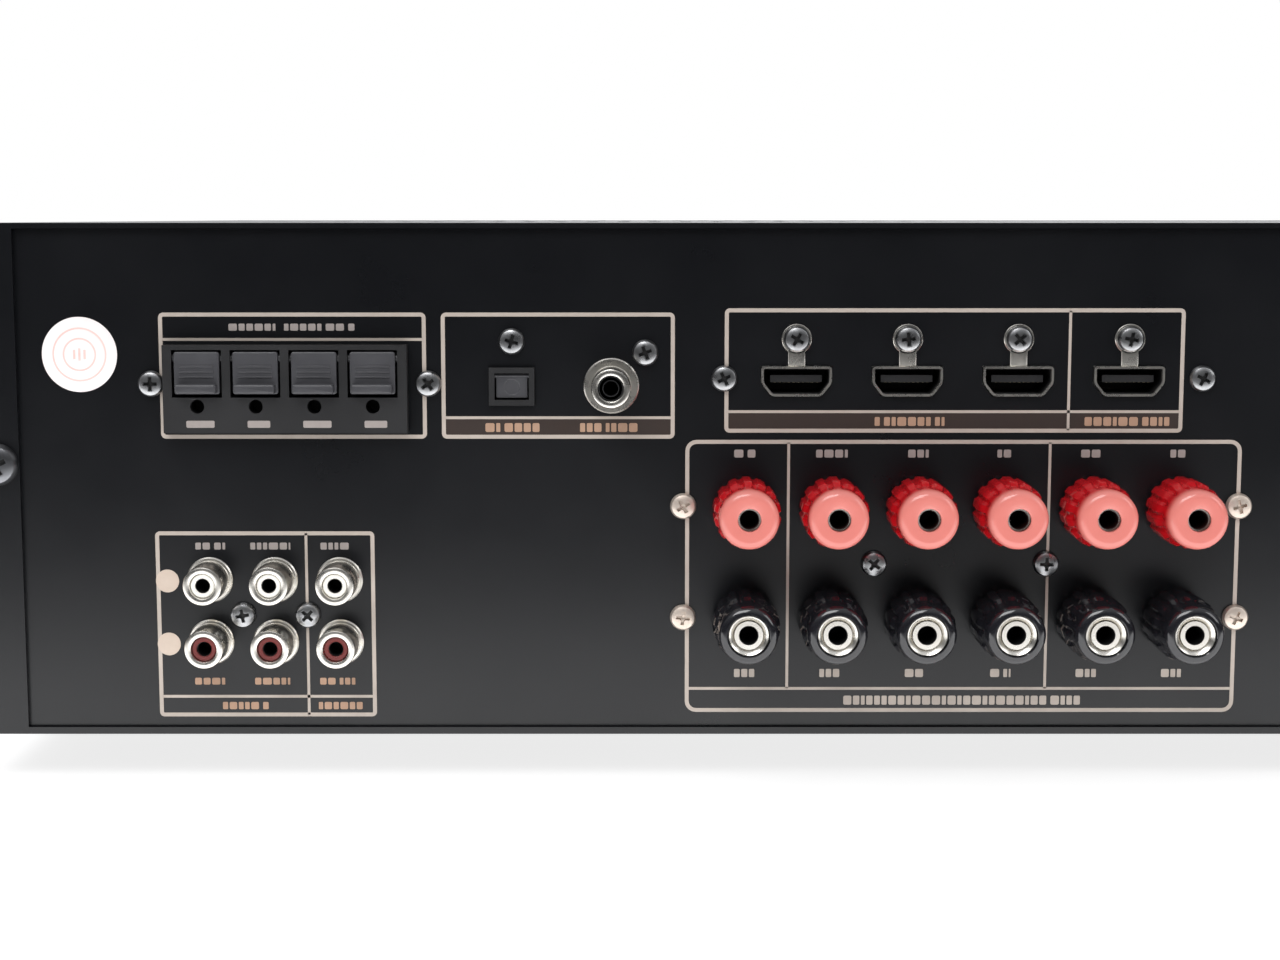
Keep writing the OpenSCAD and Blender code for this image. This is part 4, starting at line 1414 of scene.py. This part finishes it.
@dataclass
class Screws:
    """Every screw that shows: pan heads on the rear panel and the cover's larger ones."""

    layout: Layout
    head_r: float = 2.8
    head_h: float = 1.6
    cover_r: float = 4.5
    cover_h: float = 2.4
    lip_x: float = 208.85
    lip_z: float = 58.8
    lip_t: float = 1.2
    side_depths: tuple[int, ...] = (42, 160, 278)
    side_z: float = 15.5
    antenna_xs: tuple[float, float] = (-175.9, -116.9)
    antenna_z: float = 76.0
    optical_up: float = 9.6
    coax_off: tuple[float, float] = (7.2, 7.0)
    tab_z: float = 85.5
    tab_t: float = 0.5
    video_off: tuple[float, float] = (-15.4, 15.6)
    video_z: float = 77.1
    line_off: float = 7.0
    line_z: float = 26.0
    board_off: float = 59.55
    board_rows: tuple[float, float] = (25.5, 49.7)
    seam_z: float = 37.2
    inlet_off: float = 20.0
    inlet_out: float = 3.0

    def build(self) -> None:
        """Makes both sets in the places of the CAD screws."""
        panel = Piece("rear_panel_screws", "screws")
        head = self.head(self.head_r, self.head_h)
        recess_shade = self.recess_shade_floor(self.head_r, self.head_h)
        for number, (x, z, out) in enumerate(self.places()):
            place = self.layout.on_rear(x, z, out, spin=37 * number % 90)
            bright = z in self.board_rows
            panel.add(head, place, BRIGHT_STEEL if bright else ZINC_STEEL)
            # a dark sheet in the cross recess paints its shade
            if not bright:
                panel.add(recess_shade, place, BLACK_HOLLOW_SHADE)
        panel.show("panel_screws")
        cover = Piece("cover_screw_set", "screws")
        head, recess_shade = self.head(self.cover_r, self.cover_h), self.recess_shade_floor(self.cover_r, self.cover_h)
        for side in Side:
            places = [self.layout.on_rear(side.value * self.lip_x, self.lip_z, self.lip_t, spin=25)]
            places += [self.layout.on_side(side, depth, self.side_z) for depth in self.side_depths]
            # each cover screw gets a dark sheet of painted shade in its recess
            for place in places:
                cover.add(head, place, BLACK_STEEL).add(recess_shade, place, BLACK_HOLLOW_SHADE)
        cover.show("cover_screws")

    def places(self) -> list[tuple[float, float, float]]:
        """Where each screw of the rear panel sits.

        Returns:
            Each screw's x, its height and how far out of the panel it sits.
        """
        video = [self.layout.mount_xz(f"video_{i}")[0] for i in range(1, 5)]
        line = self.layout.mount_xz("line_upper_2")[0]
        inlet_x, inlet_z = self.layout.mount_xz("mains_in")
        optical_x, optical_z = self.layout.mount_xz("optical_in")
        coax_x, coax_z = self.layout.mount_xz("coaxial_in")
        posts = [self.layout.mount_xz(f"speaker_red_{i}")[0] for i in range(1, 7)]
        middle = sum(posts) / len(posts)
        return [
            *[(x, self.antenna_z, 0) for x in self.antenna_xs],
            (optical_x, optical_z + self.optical_up, 0),
            (coax_x + self.coax_off[0], coax_z + self.coax_off[1], 0),
            *[(x, self.tab_z, self.tab_t) for x in video],
            (video[0] + self.video_off[0], self.video_z, 0),
            (video[-1] + self.video_off[1], self.video_z, 0),
            *[(line + side.value * self.line_off, self.line_z, 0) for side in Side],
            *[(middle + side.value * self.board_off, z, 0) for side in Side for z in self.board_rows],
            *[((posts[gap] + posts[gap + 1]) / 2, self.seam_z, 0) for gap in (1, 3)],
            *[(inlet_x + side.value * self.inlet_off, inlet_z, self.inlet_out) for side in Side],
        ]

    def recess_shade_floor(self, radius: float, height: float) -> Shape:
        """The painted shade of a head's cross recess: a dark sheet on its floor.

        Args:
            radius: The head's radius.
            height: Its height.

        Returns:
            The floor, in the head's place.
        """
        arm, bar = radius * 0.5, radius * 0.125
        corners = [(bar, arm), (bar, bar), (arm, bar), (arm, -bar), (bar, -bar), (bar, -arm)]
        return Shape.flat(corners + [(-x, -y) for x, y in corners], 0.06).moved(z=height * 0.4)

    def head(self, radius: float, height: float) -> Shape:
        """A domed pan head with a cross recess.

        Args:
            radius: The head's radius.
            height: Its height.

        Returns:
            The head, on z = 0.
        """
        dome = Shape.turned(
            [
                (0, -0.3),
                (radius * 0.5, -0.3),
                (radius * 0.96, 0),
                (radius, height * 0.12),
                (radius * 0.98, height * 0.45),
                (radius * 0.86, height * 0.78),
                (radius * 0.62, height * 0.95),
                (0, height),
            ]
        )
        arm, bar, floor, top = radius * 1.05, radius * 0.26, height * 0.42, height * 1.2
        cone = [(0, height * 0.3), (radius * 0.12, height * 0.35), (radius * 0.3, top), (0, top)]
        slots = [
            Shape.block(arm, bar, height).moved(z=floor),
            Shape.block(bar, arm, height).moved(z=floor),
            Shape.turned(cone, 16),
        ]
        return dome.cut(slots)


@dataclass(frozen=True)
class Area:
    """An upright rectangle on the rear panel, from x0 to x1 and from z0 to z1."""

    x0: float
    x1: float
    z0: float
    z1: float

    @property
    def middle(self) -> tuple[float, float]:
        """Its middle, as x and height."""
        return (self.x0 + self.x1) / 2, (self.z0 + self.z1) / 2


@dataclass(frozen=True)
class Group:
    """A printed frame, the straight lines that divide it, and the radius of its corners."""

    frame: Area
    dividers: tuple[Area, ...]
    corner: float = 1.1


@dataclass(frozen=True)
class Row:
    """A row of plain blocks that stands for a label: where it lies, how high it is and its ink."""

    x0: float
    x1: float
    z: float
    height: float
    ink: Finish


@dataclass
class Print:
    """What is printed on the rear panel: frames, dividers and generic blocks in place of labels."""

    layout: Layout
    line: float = 0.85
    divider: float = 0.6
    antenna: Group = Group(Area(-174.1, -117.3, 64.2, 91.1), (Area(-173.3, -118.1, 85.4, 85.4),))
    digital: Group = Group(Area(-114.1, -64.4, 64.2, 91.1), (Area(-113.3, -65.2, 68.7, 68.7),))
    video: Group = Group(
        Area(-53.8, 44.0, 65.5, 92.0),
        (Area(-53.0, 43.2, 70.0, 70.0), Area(19.6, 19.6, 66.0, 91.5)),
    )
    speakers: Group = Group(
        Area(-62.1, 56.9, 4.6, 63.95),
        (Area(-61.3, 56.1, 9.8, 9.8), Area(-40.0, -40.0, 9.8, 63.4), Area(15.9, 15.9, 9.8, 63.4)),
        corner=2.4,
    )
    line_in: Group = Group(
        Area(-176.0, -128.9, 3.6, 44.2),
        (Area(-175.2, -129.7, 8.05, 8.05), Area(-143.6, -143.6, 4.0, 43.8)),
        corner=1.0,
    )
    grounds: tuple[Area, ...] = (
        Area(-113.4, -65.1, 64.8, 68.5),
        Area(-53.1, 19.2, 66.1, 69.8),
        Area(20.0, 43.3, 66.1, 69.8),
    )
    disc_r: float = 2.5
    disc_x: float = -173.6
    disc_rows: tuple[float, float] = (33.4, 19.6)
    rows: tuple[Row, ...] = (
        Row(-159.2, -149.2, 88.0, 1.5, GREY_INK),
        Row(-147.4, -132.0, 88.0, 1.5, GREY_INK),
        Row(-104.8, -93.1, 66.6, 1.9, ORANGE_INK),
        Row(-84.6, -71.8, 66.6, 1.9, ORANGE_INK),
        Row(-21.7, -6.8, 67.9, 1.9, ORANGE_INK),
        Row(23.1, 41.2, 67.9, 1.9, ORANGE_INK),
        Row(-27.7, 24.0, 7.2, 2.0, CREAM_INK),
        Row(-167.4, -161.0, 41.0, 1.5, GREY_INK),
        Row(-155.6, -147.0, 41.0, 1.5, GREY_INK),
        Row(-140.5, -134.1, 41.0, 1.5, GREY_INK),
        Row(-168.2, -161.7, 11.4, 1.5, ORANGE_INK),
        Row(-155.2, -147.6, 11.4, 1.5, ORANGE_INK),
        Row(-141.1, -133.5, 11.4, 1.5, ORANGE_INK),
        Row(-162.3, -152.4, 6.0, 1.6, ORANGE_INK),
        Row(-141.5, -132.0, 6.0, 1.6, ORANGE_INK),
    )
    post_halves: tuple[float, ...] = (2.4, 3.4, 2.2, 1.6, 2.2, 1.6)
    over_posts_z: float = 61.0
    under_posts_z: float = 13.2
    under_half: float = 2.2
    block_w: tuple[float, float] = (0.8, 2.0)
    block_gap: float = 0.35
    word_gap: float = 0.9
    word_share: float = 0.15

    def build(self) -> None:
        """Prints the frames, the grounds, the discs and the labels as one piece each."""
        self.frames()
        self.patches()
        self.discs()
        self.labels()

    def frames(self) -> None:
        """Prints the five groups' frames with their dividers."""
        made = Piece("printed_frames", "white_moulding")
        for group in (self.antenna, self.digital, self.video, self.speakers, self.line_in):
            self.frame(made, group)
            for divider in group.dividers:
                self.rule(made, divider)
        made.show()

    def frame(self, made: Piece, group: Group) -> None:
        """Adds one rounded frame to the print.

        Args:
            made: The piece to add to.
            group: The group that it surrounds.
        """
        area = group.frame
        half_w, half_h = (area.x1 - area.x0) / 2, (area.z1 - area.z0) / 2
        points = [(-half_w, -half_h), (half_w, -half_h), (half_w, half_h), (-half_w, half_h)]
        shape = Shape.outline(points, self.line, INK_T, group.corner)
        made.add(shape, self.layout.on_rear(*area.middle), CREAM_INK)

    def rule(self, made: Piece, area: Area) -> None:
        """Adds one straight printed line.

        Args:
            made: The piece to add to.
            area: Its ends, with no width across it.
        """
        wide, tall = max(area.x1 - area.x0, self.divider), max(area.z1 - area.z0, self.divider)
        made.add(Shape.block(wide, tall, INK_T), self.layout.on_rear(*area.middle), CREAM_INK)

    def patches(self) -> None:
        """Prints the brown grounds under the lower labels."""
        made = Piece("printed_grounds", "black_moulding")
        for area in self.grounds:
            shape = Shape.block(area.x1 - area.x0, area.z1 - area.z0, INK_T / 2, corner=0.6)
            made.add(shape, self.layout.on_rear(*area.middle), BROWN_INK)
        made.show()

    def discs(self) -> None:
        """Prints the discs beside the two rows of line jacks."""
        made = Piece("printed_discs", "white_moulding")
        disc = Shape.turned([(0, 0), (self.disc_r, 0), (self.disc_r, INK_T), (0, INK_T)], 36)
        for z in self.disc_rows:
            made.add(disc, self.layout.on_rear(self.disc_x, z, OVER_PRINT), IVORY_INK)
        made.show()

    def labels(self) -> None:
        """Prints every group's label rows."""
        made = Piece("printed_labels", "white_moulding")
        rows = list(self.rows)
        for number, half in enumerate(self.post_halves, start=1):
            x, _ = self.layout.mount_xz(f"speaker_red_{number}")
            rows.append(Row(x - half, x + half, self.over_posts_z, 1.7, GREY_INK))
            rows.append(Row(x - self.under_half, x + self.under_half, self.under_posts_z, 1.8, CREAM_INK))
        for seed, row in enumerate(rows):
            self.words(made, row, seed)
        made.show()

    def words(self, made: Piece, row: Row, seed: int) -> None:
        """Prints a row of plain blocks that stands for a label.

        Args:
            made: The piece to add to.
            row: Where the row lies, and its ink.
            seed: Chooses the blocks' widths.
        """
        widths = random.Random(seed)
        x = row.x0
        while x < row.x1 - 0.3:
            wide = min(widths.uniform(*self.block_w), row.x1 - x)
            block = Shape.block(wide, row.height, INK_T, corner=min(wide, row.height) * 0.2)
            made.add(block, self.layout.on_rear(x + wide / 2, row.z, OVER_PRINT), row.ink)
            x += wide + (self.word_gap if widths.random() < self.word_share else self.block_gap)


@dataclass
class InspectionLabel:
    """A round paper label with a faint generic stamp."""

    layout: Layout
    x: float = -191.0
    z: float = 82.2
    radius: float = 8.0
    paper_t: float = 0.1
    stamp_t: float = 0.02
    ring_rs: tuple[float, float] = (5.4, 3.2)
    ring_w: float = 0.35
    bar_hs: tuple[float, ...] = (2.0, 2.6, 2.0)
    bar_w: float = 0.5
    bar_pitch: float = 1.1

    def build(self) -> None:
        """Makes the label and its stamp as one piece."""
        made = Piece("inspection_label", "white_moulding")
        edge, thick = self.radius, self.paper_t
        profile = [(0, 0), (edge, 0), (edge, thick - 0.02), (edge - 0.05, thick), (0, thick)]
        made.add(Shape.turned(profile, 64), self.layout.on_rear(self.x, self.z), LABEL_PAPER)
        for low in self.ring_rs:
            high, top = low + self.ring_w, self.stamp_t
            ring = Shape.turned([(low, 0), (high, 0), (high, top), (low, top)], 48, ring=True)
            made.add(ring, self.layout.on_rear(self.x, self.z, thick), STAMP_INK)
        for number, height in enumerate(self.bar_hs):
            bar = Shape.block(self.bar_w, height, self.stamp_t)
            place = self.layout.on_rear(self.x + self.bar_pitch * (number - 1), self.z, thick)
            made.add(bar, place, STAMP_INK)
        made.show()


@dataclass
class FrontControls:
    """The two knobs, the power button and the marks round the volume knob."""

    layout: Layout
    reach: float = 17.0
    gap: float = 0.8
    grip_end: float = 2.6
    volume_flutes: int = 72
    input_flutes: int = 48
    flute_steps: int = 4
    flute_deep: float = 0.45
    collar_r: float = 4.4
    collar_to: float = 4.0
    shaft_r: float = 3.05
    shaft_to: float = 13.4
    stem_r: float = 2.4
    button_t: float = 6.3
    ticks: int = 11
    tick_turn: float = 30.0
    tick_gap: float = 3.4

    def build(self) -> None:
        """Makes each control in the place of its node."""
        self.knob("volume_knob", self.volume_flutes)
        self.knob("input_knob", self.input_flutes)
        self.button()
        self.marks()

    def round_node(self, node: str) -> tuple[float, float, float]:
        """Where a round control lies on the front panel.

        Args:
            node: Its CAD node.

        Returns:
            Its axis across the panel and above the tray's underside, and its radius.
        """
        low, high = (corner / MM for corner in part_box(node))
        return (low.x + high.x) / 2, (low.z + high.z) / 2 - self.layout.foot_h, (high.x - low.x) / 2

    def knob(self, node: str, flutes: int) -> None:
        """Makes a turned knob with a fluted grip and a white pointer.

        Args:
            node: The CAD node that it stands for, which is also its body.
            flutes: Grooves round the grip.
        """
        x, z, radius = self.round_node(node)
        grip_to = self.reach - self.grip_end
        shape = Shape.turned(
            [
                (self.collar_r, self.gap),
                (radius - 0.9, self.gap),
                (radius - 0.3, self.gap + 0.3),
                (radius - 0.1, self.gap + 1.0),
                (radius - 0.1, self.gap + 2.0),
                (radius - 0.1, grip_to),
                (radius - 0.1, self.reach - 1.3),
                (radius - 0.5, self.reach - 0.4),
                (radius - 1.3, self.reach - 0.02),
                (radius * 0.8, self.reach - 0.15),
                (0.0, self.reach - 0.4),
                (0.0, self.shaft_to),
                (self.shaft_r, self.shaft_to),
                (self.shaft_r, self.collar_to),
                (self.collar_r, self.collar_to),
            ],
            steps=flutes * self.flute_steps,
            ring=True,
        )
        for vert in shape.bm.verts:
            reach = vert.co.xy.length
            if reach > radius - 0.2 and self.gap + 1.5 < vert.co.z < grip_to + 0.1:
                angle = math.atan2(vert.co.y, vert.co.x)
                vert.co.xy *= (reach - self.flute_deep * max(0.0, math.cos(flutes * angle))) / reach
        made = Piece(f"{node}_turned", "grey_anodised", node)
        made.add(shape, self.layout.on_front(x, z), KNOB_METAL)
        pointer = Shape.block(1.0, radius * 0.35, 0.3, corner=0.4)
        place = self.layout.on_front(x, z, self.reach - 0.38) @ Matrix.Translation((0, radius * 0.6, 0))
        made.add(pointer, place, CREAM_INK)
        made.show(node)

    def button(self) -> None:
        """Makes the power button with a dished face and a stem."""
        x, z, radius = self.round_node("power_button")
        back, out = ((corner / MM).y - self.layout.front_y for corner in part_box("power_button"))
        cap_back = out - self.button_t
        shape = Shape.turned(
            [
                (0, back),
                (self.stem_r, back),
                (self.stem_r, cap_back),
                (radius, cap_back),
                (radius, out - 0.5),
                (radius - 0.15, out - 0.15),
                (radius - 0.5, out),
                (radius - 1.0, out - 0.05),
                (0, out - 0.5),
            ],
            64,
        )
        made = Piece("power_button_turned", "button", "power_button")
        made.add(shape, self.layout.on_front(x, z), KNOB_METAL)
        made.show("power_button")

    def marks(self) -> None:
        """Prints the scale round the volume knob, with longer marks at its ends and its middle."""
        made = Piece("front_marks", "white_moulding")
        x, z, radius = self.round_node("volume_knob")
        for step in range(self.ticks):
            turn = self.tick_turn * (step - self.ticks // 2)
            tick = Shape.block(0.7, 3.0 if step % (self.ticks // 2) == 0 else 1.8, INK_T)
            outward = Matrix.Translation((0, radius + self.tick_gap, 0))
            made.add(tick, self.layout.on_front(x, z, spin=-turn) @ outward, GREY_INK)
        made.show()


@dataclass
class Feet:
    """Four moulded feet, each with a groove round the pad that it stands on."""

    layout: Layout
    inset_d: float = 64.0
    inset_w: float = 55.0
    radius: float = 20.0
    height: float = 10.0
    pad_rim: float = 5.0
    groove_w: float = 1.5
    groove_deep: float = 0.8

    def build(self) -> None:
        """Makes the feet as one piece."""
        made = Piece("moulded_feet", "feet")
        r, h = self.radius, self.height
        wall = [(r - 2.2, 0.5), (r - 2, 1.2), (r - 0.3, h - 1.2), (r, h - 0.6)]
        shape = Shape.turned([(0, 0), (r - 3.2, 0), *wall, (r, h), (0, h)], 64)
        inner, outer = r - self.pad_rim - self.groove_w, r - self.pad_rim
        groove = [(inner, -1), (outer, -1), (outer, self.groove_deep), (inner, self.groove_deep)]
        shape.cut([Shape.turned(groove, 64, ring=True)])
        low = self.layout.rear_y + self.inset_d
        high = self.layout.front_y - self.inset_d
        for side in Side:
            for y in (low, high):
                where = Vector((side.value * (self.layout.half_w - self.inset_w), y, 0)) * MM
                made.add(shape, Matrix.Translation(where) @ Matrix.Scale(MM, 4), RUBBER)
        made.show("feet")


@dataclass
class CadParts:
    """The CAD nodes that keep their own shape and get a finish here."""

    frame: dict
    edge: float = 0.3
    softened: tuple[str, ...] = (
        "front_panel",
        "display_window",
        "antenna_terminal_block",
        "optical_socket",
        "mains_inlet",
    )

    def build(self) -> None:
        """Dresses each node and softens the edges of the front and the mouldings."""
        for name, finish in NODE_FINISHES.items():
            self.dress(name, finish)
        for name in self.softened:
            self.soften(self.frame["nodes"][name])

    def soften(self, item: bpy.types.Object) -> None:
        """Rounds a node's sharp edges, so that they catch the light.

        Args:
            item: The node's object.
        """
        item.modifiers.new("weld", "WELD").merge_threshold = 0.01 * MM
        bevel = item.modifiers.new("round", "BEVEL")
        bevel.width, bevel.segments, bevel.profile = self.edge * MM, 2, 0.5
        bevel.limit_method, bevel.angle_limit = "ANGLE", math.radians(40)

    def dress(self, node: str, finish: Finish) -> None:
        """Gives one node its finish.

        Args:
            node: The CAD node.
            finish: What it is made of.
        """
        item = self.frame["nodes"][node]
        item.data.materials.clear()
        item.data.materials.append(finish.material())


# ---- Stage ----


@dataclass(frozen=True)
class Lamp:
    """A soft rectangular lamp, with its place and size in metres and its power in watts."""

    name: str
    where: tuple[float, float, float]
    aim: tuple[float, float, float]
    width: float
    height: float
    power: float
    warmth: str = "ffffff"

    def hang(self) -> None:
        """Puts the lamp in the scene, unseen by the camera itself."""
        light = bpy.data.lights.new(self.name, "AREA")
        light.shape, light.size, light.size_y = "RECTANGLE", self.width, self.height
        light.energy, light.color = self.power, linear(self.warmth)[:3]
        item = bpy.data.objects.new(self.name, light)
        item.location = self.where
        item.rotation_euler = (Vector(self.aim) - Vector(self.where)).to_track_quat("-Z", "Y").to_euler()
        item.visible_camera = False
        bpy.context.scene.collection.objects.link(item)


@dataclass
class Studio:
    """A white floor and room, soft lamps, and the camera behind the amplifier."""

    lens: float = 60.84
    shift: float = 0.0062
    camera_at: tuple[float, float, float] = (-0.0718, -0.6185, 0.1213)
    pitch: float = 7.15
    dark_floor_y: float = -0.52
    pale_floor_y: float = -0.24
    floor_glow: float = 1.2
    glow_share: float = 0.68
    lamps: tuple[Lamp, ...] = (
        Lamp("key", (-0.55, -1.25, 1.5), (0, -0.16, 0.06), 1.3, 0.9, 24),
        Lamp("right_fill", (1.3, -0.9, 0.8), (0, -0.16, 0.06), 0.7, 0.9, 6),
        Lamp("bounce_card", (-0.07, -0.245, 0.002), (-0.07, -0.245, 1.0), 1.0, 0.15, 0.7),
        Lamp("front_key", (0.4, 1.5, 1.4), (0, 0.16, 0.06), 1.4, 1.0, 18),
    )

    def build(self) -> None:
        """Makes the stage."""
        scene = bpy.context.scene
        scene.view_settings.view_transform = "Standard"
        self.camera(scene)
        self.world(scene)
        self.floor()
        for lamp in self.lamps:
            lamp.hang()

    def camera(self, scene: bpy.types.Scene) -> None:
        """Places the camera behind the rear panel, level with the cover and looking a little down.

        Args:
            scene: The scene to add it to.
        """
        lens = bpy.data.cameras.new("camera")
        lens.lens, lens.sensor_width, lens.shift_y = self.lens, 36, self.shift
        lens.clip_start, lens.clip_end = 0.01, 50
        item = bpy.data.objects.new("camera", lens)
        item.location = self.camera_at
        item.rotation_euler = (math.radians(90 - self.pitch), 0, 0)
        scene.collection.objects.link(item)
        scene.camera = item

    def world(self, scene: bpy.types.Scene) -> None:
        """Makes a room that is bright overhead and dark behind the camera, and white to the camera.

        Args:
            scene: The scene that gets it.
        """
        world = bpy.data.worlds.new("studio")
        world.use_nodes = True
        scene.world = world
        tree = world.node_tree
        tree.nodes.clear()
        way = add_node(
            tree, "ShaderNodeSeparateXYZ", {}, {0: add_node(tree, "ShaderNodeTexCoord").outputs["Generated"]}
        )
        overhead = add_node(
            tree,
            "ShaderNodeMapRange",
            {
                "interpolation_type": "SMOOTHSTEP",
                "From Min": 0.15,
                "From Max": 0.9,
                "To Min": 0.04,
                "To Max": 0.75,
            },
            {"Value": way.outputs["Z"]},
        ).outputs["Result"]
        beyond = add_node(
            tree,
            "ShaderNodeMapRange",
            {
                "interpolation_type": "SMOOTHSTEP",
                "From Min": -0.1,
                "From Max": 0.6,
                "To Min": 0.0,
                "To Max": 0.9,
            },
            {"Value": way.outputs["Y"]},
        ).outputs["Result"]
        strength = add_node(
            tree, "ShaderNodeMath", {"operation": "ADD"}, {0: overhead, 1: beyond}
        ).outputs["Value"]
        room = add_node(tree, "ShaderNodeBackground", {"Color": linear("f4f5f8")}, {"Strength": strength})
        white = add_node(tree, "ShaderNodeBackground", {"Color": (1, 1, 1, 1), "Strength": 1.0})
        seen = add_node(tree, "ShaderNodeLightPath").outputs["Is Camera Ray"]
        mixed = add_node(
            tree, "ShaderNodeMixShader", {}, {0: seen, 1: room.outputs[0], 2: white.outputs[0]}
        )
        add_node(tree, "ShaderNodeOutputWorld", {}, {"Surface": mixed.outputs[0]})

    def floor(self) -> None:
        """Lays a floor, white to the camera but for a soft shadow, and dark away from the object."""
        bm = bmesh.new()
        bmesh.ops.create_grid(bm, x_segments=1, y_segments=1, size=6.0)
        mesh = bpy.data.meshes.new("floor")
        bm.to_mesh(mesh)
        bm.free()
        item = bpy.data.objects.new("floor", mesh)
        bpy.context.scene.collection.objects.link(item)
        material = bpy.data.materials.new("white_paper_sweep")
        material.use_nodes = True
        tree = material.node_tree
        shader = tree.nodes["Principled BSDF"]
        shader.inputs["Roughness"].default_value = 0.9
        place = add_node(
            tree, "ShaderNodeSeparateXYZ", {}, {0: add_node(tree, "ShaderNodeTexCoord").outputs["Object"]}
        )
        near = add_node(
            tree,
            "ShaderNodeMapRange",
            {
                "interpolation_type": "SMOOTHSTEP",
                "From Min": self.dark_floor_y,
                "From Max": self.pale_floor_y,
            },
            {"Value": place.outputs["Y"]},
        ).outputs["Result"]
        seen = add_node(tree, "ShaderNodeLightPath").outputs["Is Camera Ray"]
        white = add_node(
            tree, "ShaderNodeMath", {"operation": "MAXIMUM"}, {0: near, 1: seen}
        ).outputs["Value"]
        shades = {"data_type": "RGBA", 6: linear("161618"), 7: linear("ececec")}
        paper = add_node(tree, "ShaderNodeMix", shades, {0: white})
        tree.links.new(paper.outputs[2], shader.inputs["Base Color"])
        glow = add_node(tree, "ShaderNodeEmission", {"Color": (1, 1, 1, 1), "Strength": self.floor_glow})
        share = add_node(
            tree, "ShaderNodeMath", {"operation": "MULTIPLY", 1: self.glow_share}, {0: seen}
        ).outputs["Value"]
        mixed = add_node(
            tree, "ShaderNodeMixShader", {}, {0: share, 1: shader.outputs[0], 2: glow.outputs[0]}
        )
        tree.links.new(mixed.outputs[0], tree.nodes["Material Output"].inputs["Surface"])
        mesh.materials.append(material)
        item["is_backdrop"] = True


def corners() -> list[list[float]]:
    """The shown object's lowest and highest corners as plain lists."""
    return [list(corner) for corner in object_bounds()]


def main() -> None:
    """Builds every sub-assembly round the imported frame."""
    logging.basicConfig(level=logging.INFO, format="%(name)s: %(message)s")
    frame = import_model()
    layout = Layout(frame)
    Studio().build()
    CadParts(frame).build()
    for assembly in (
        SpeakerPosts(layout),
        LineJacks(layout),
        AntennaTerminals(layout),
        OpticalShutter(layout),
        VideoSockets(layout),
        Screws(layout),
        Print(layout),
        InspectionLabel(layout),
        FrontControls(layout),
        Feet(layout),
    ):
        assembly.build()


if __name__ == "__main__":
    main()
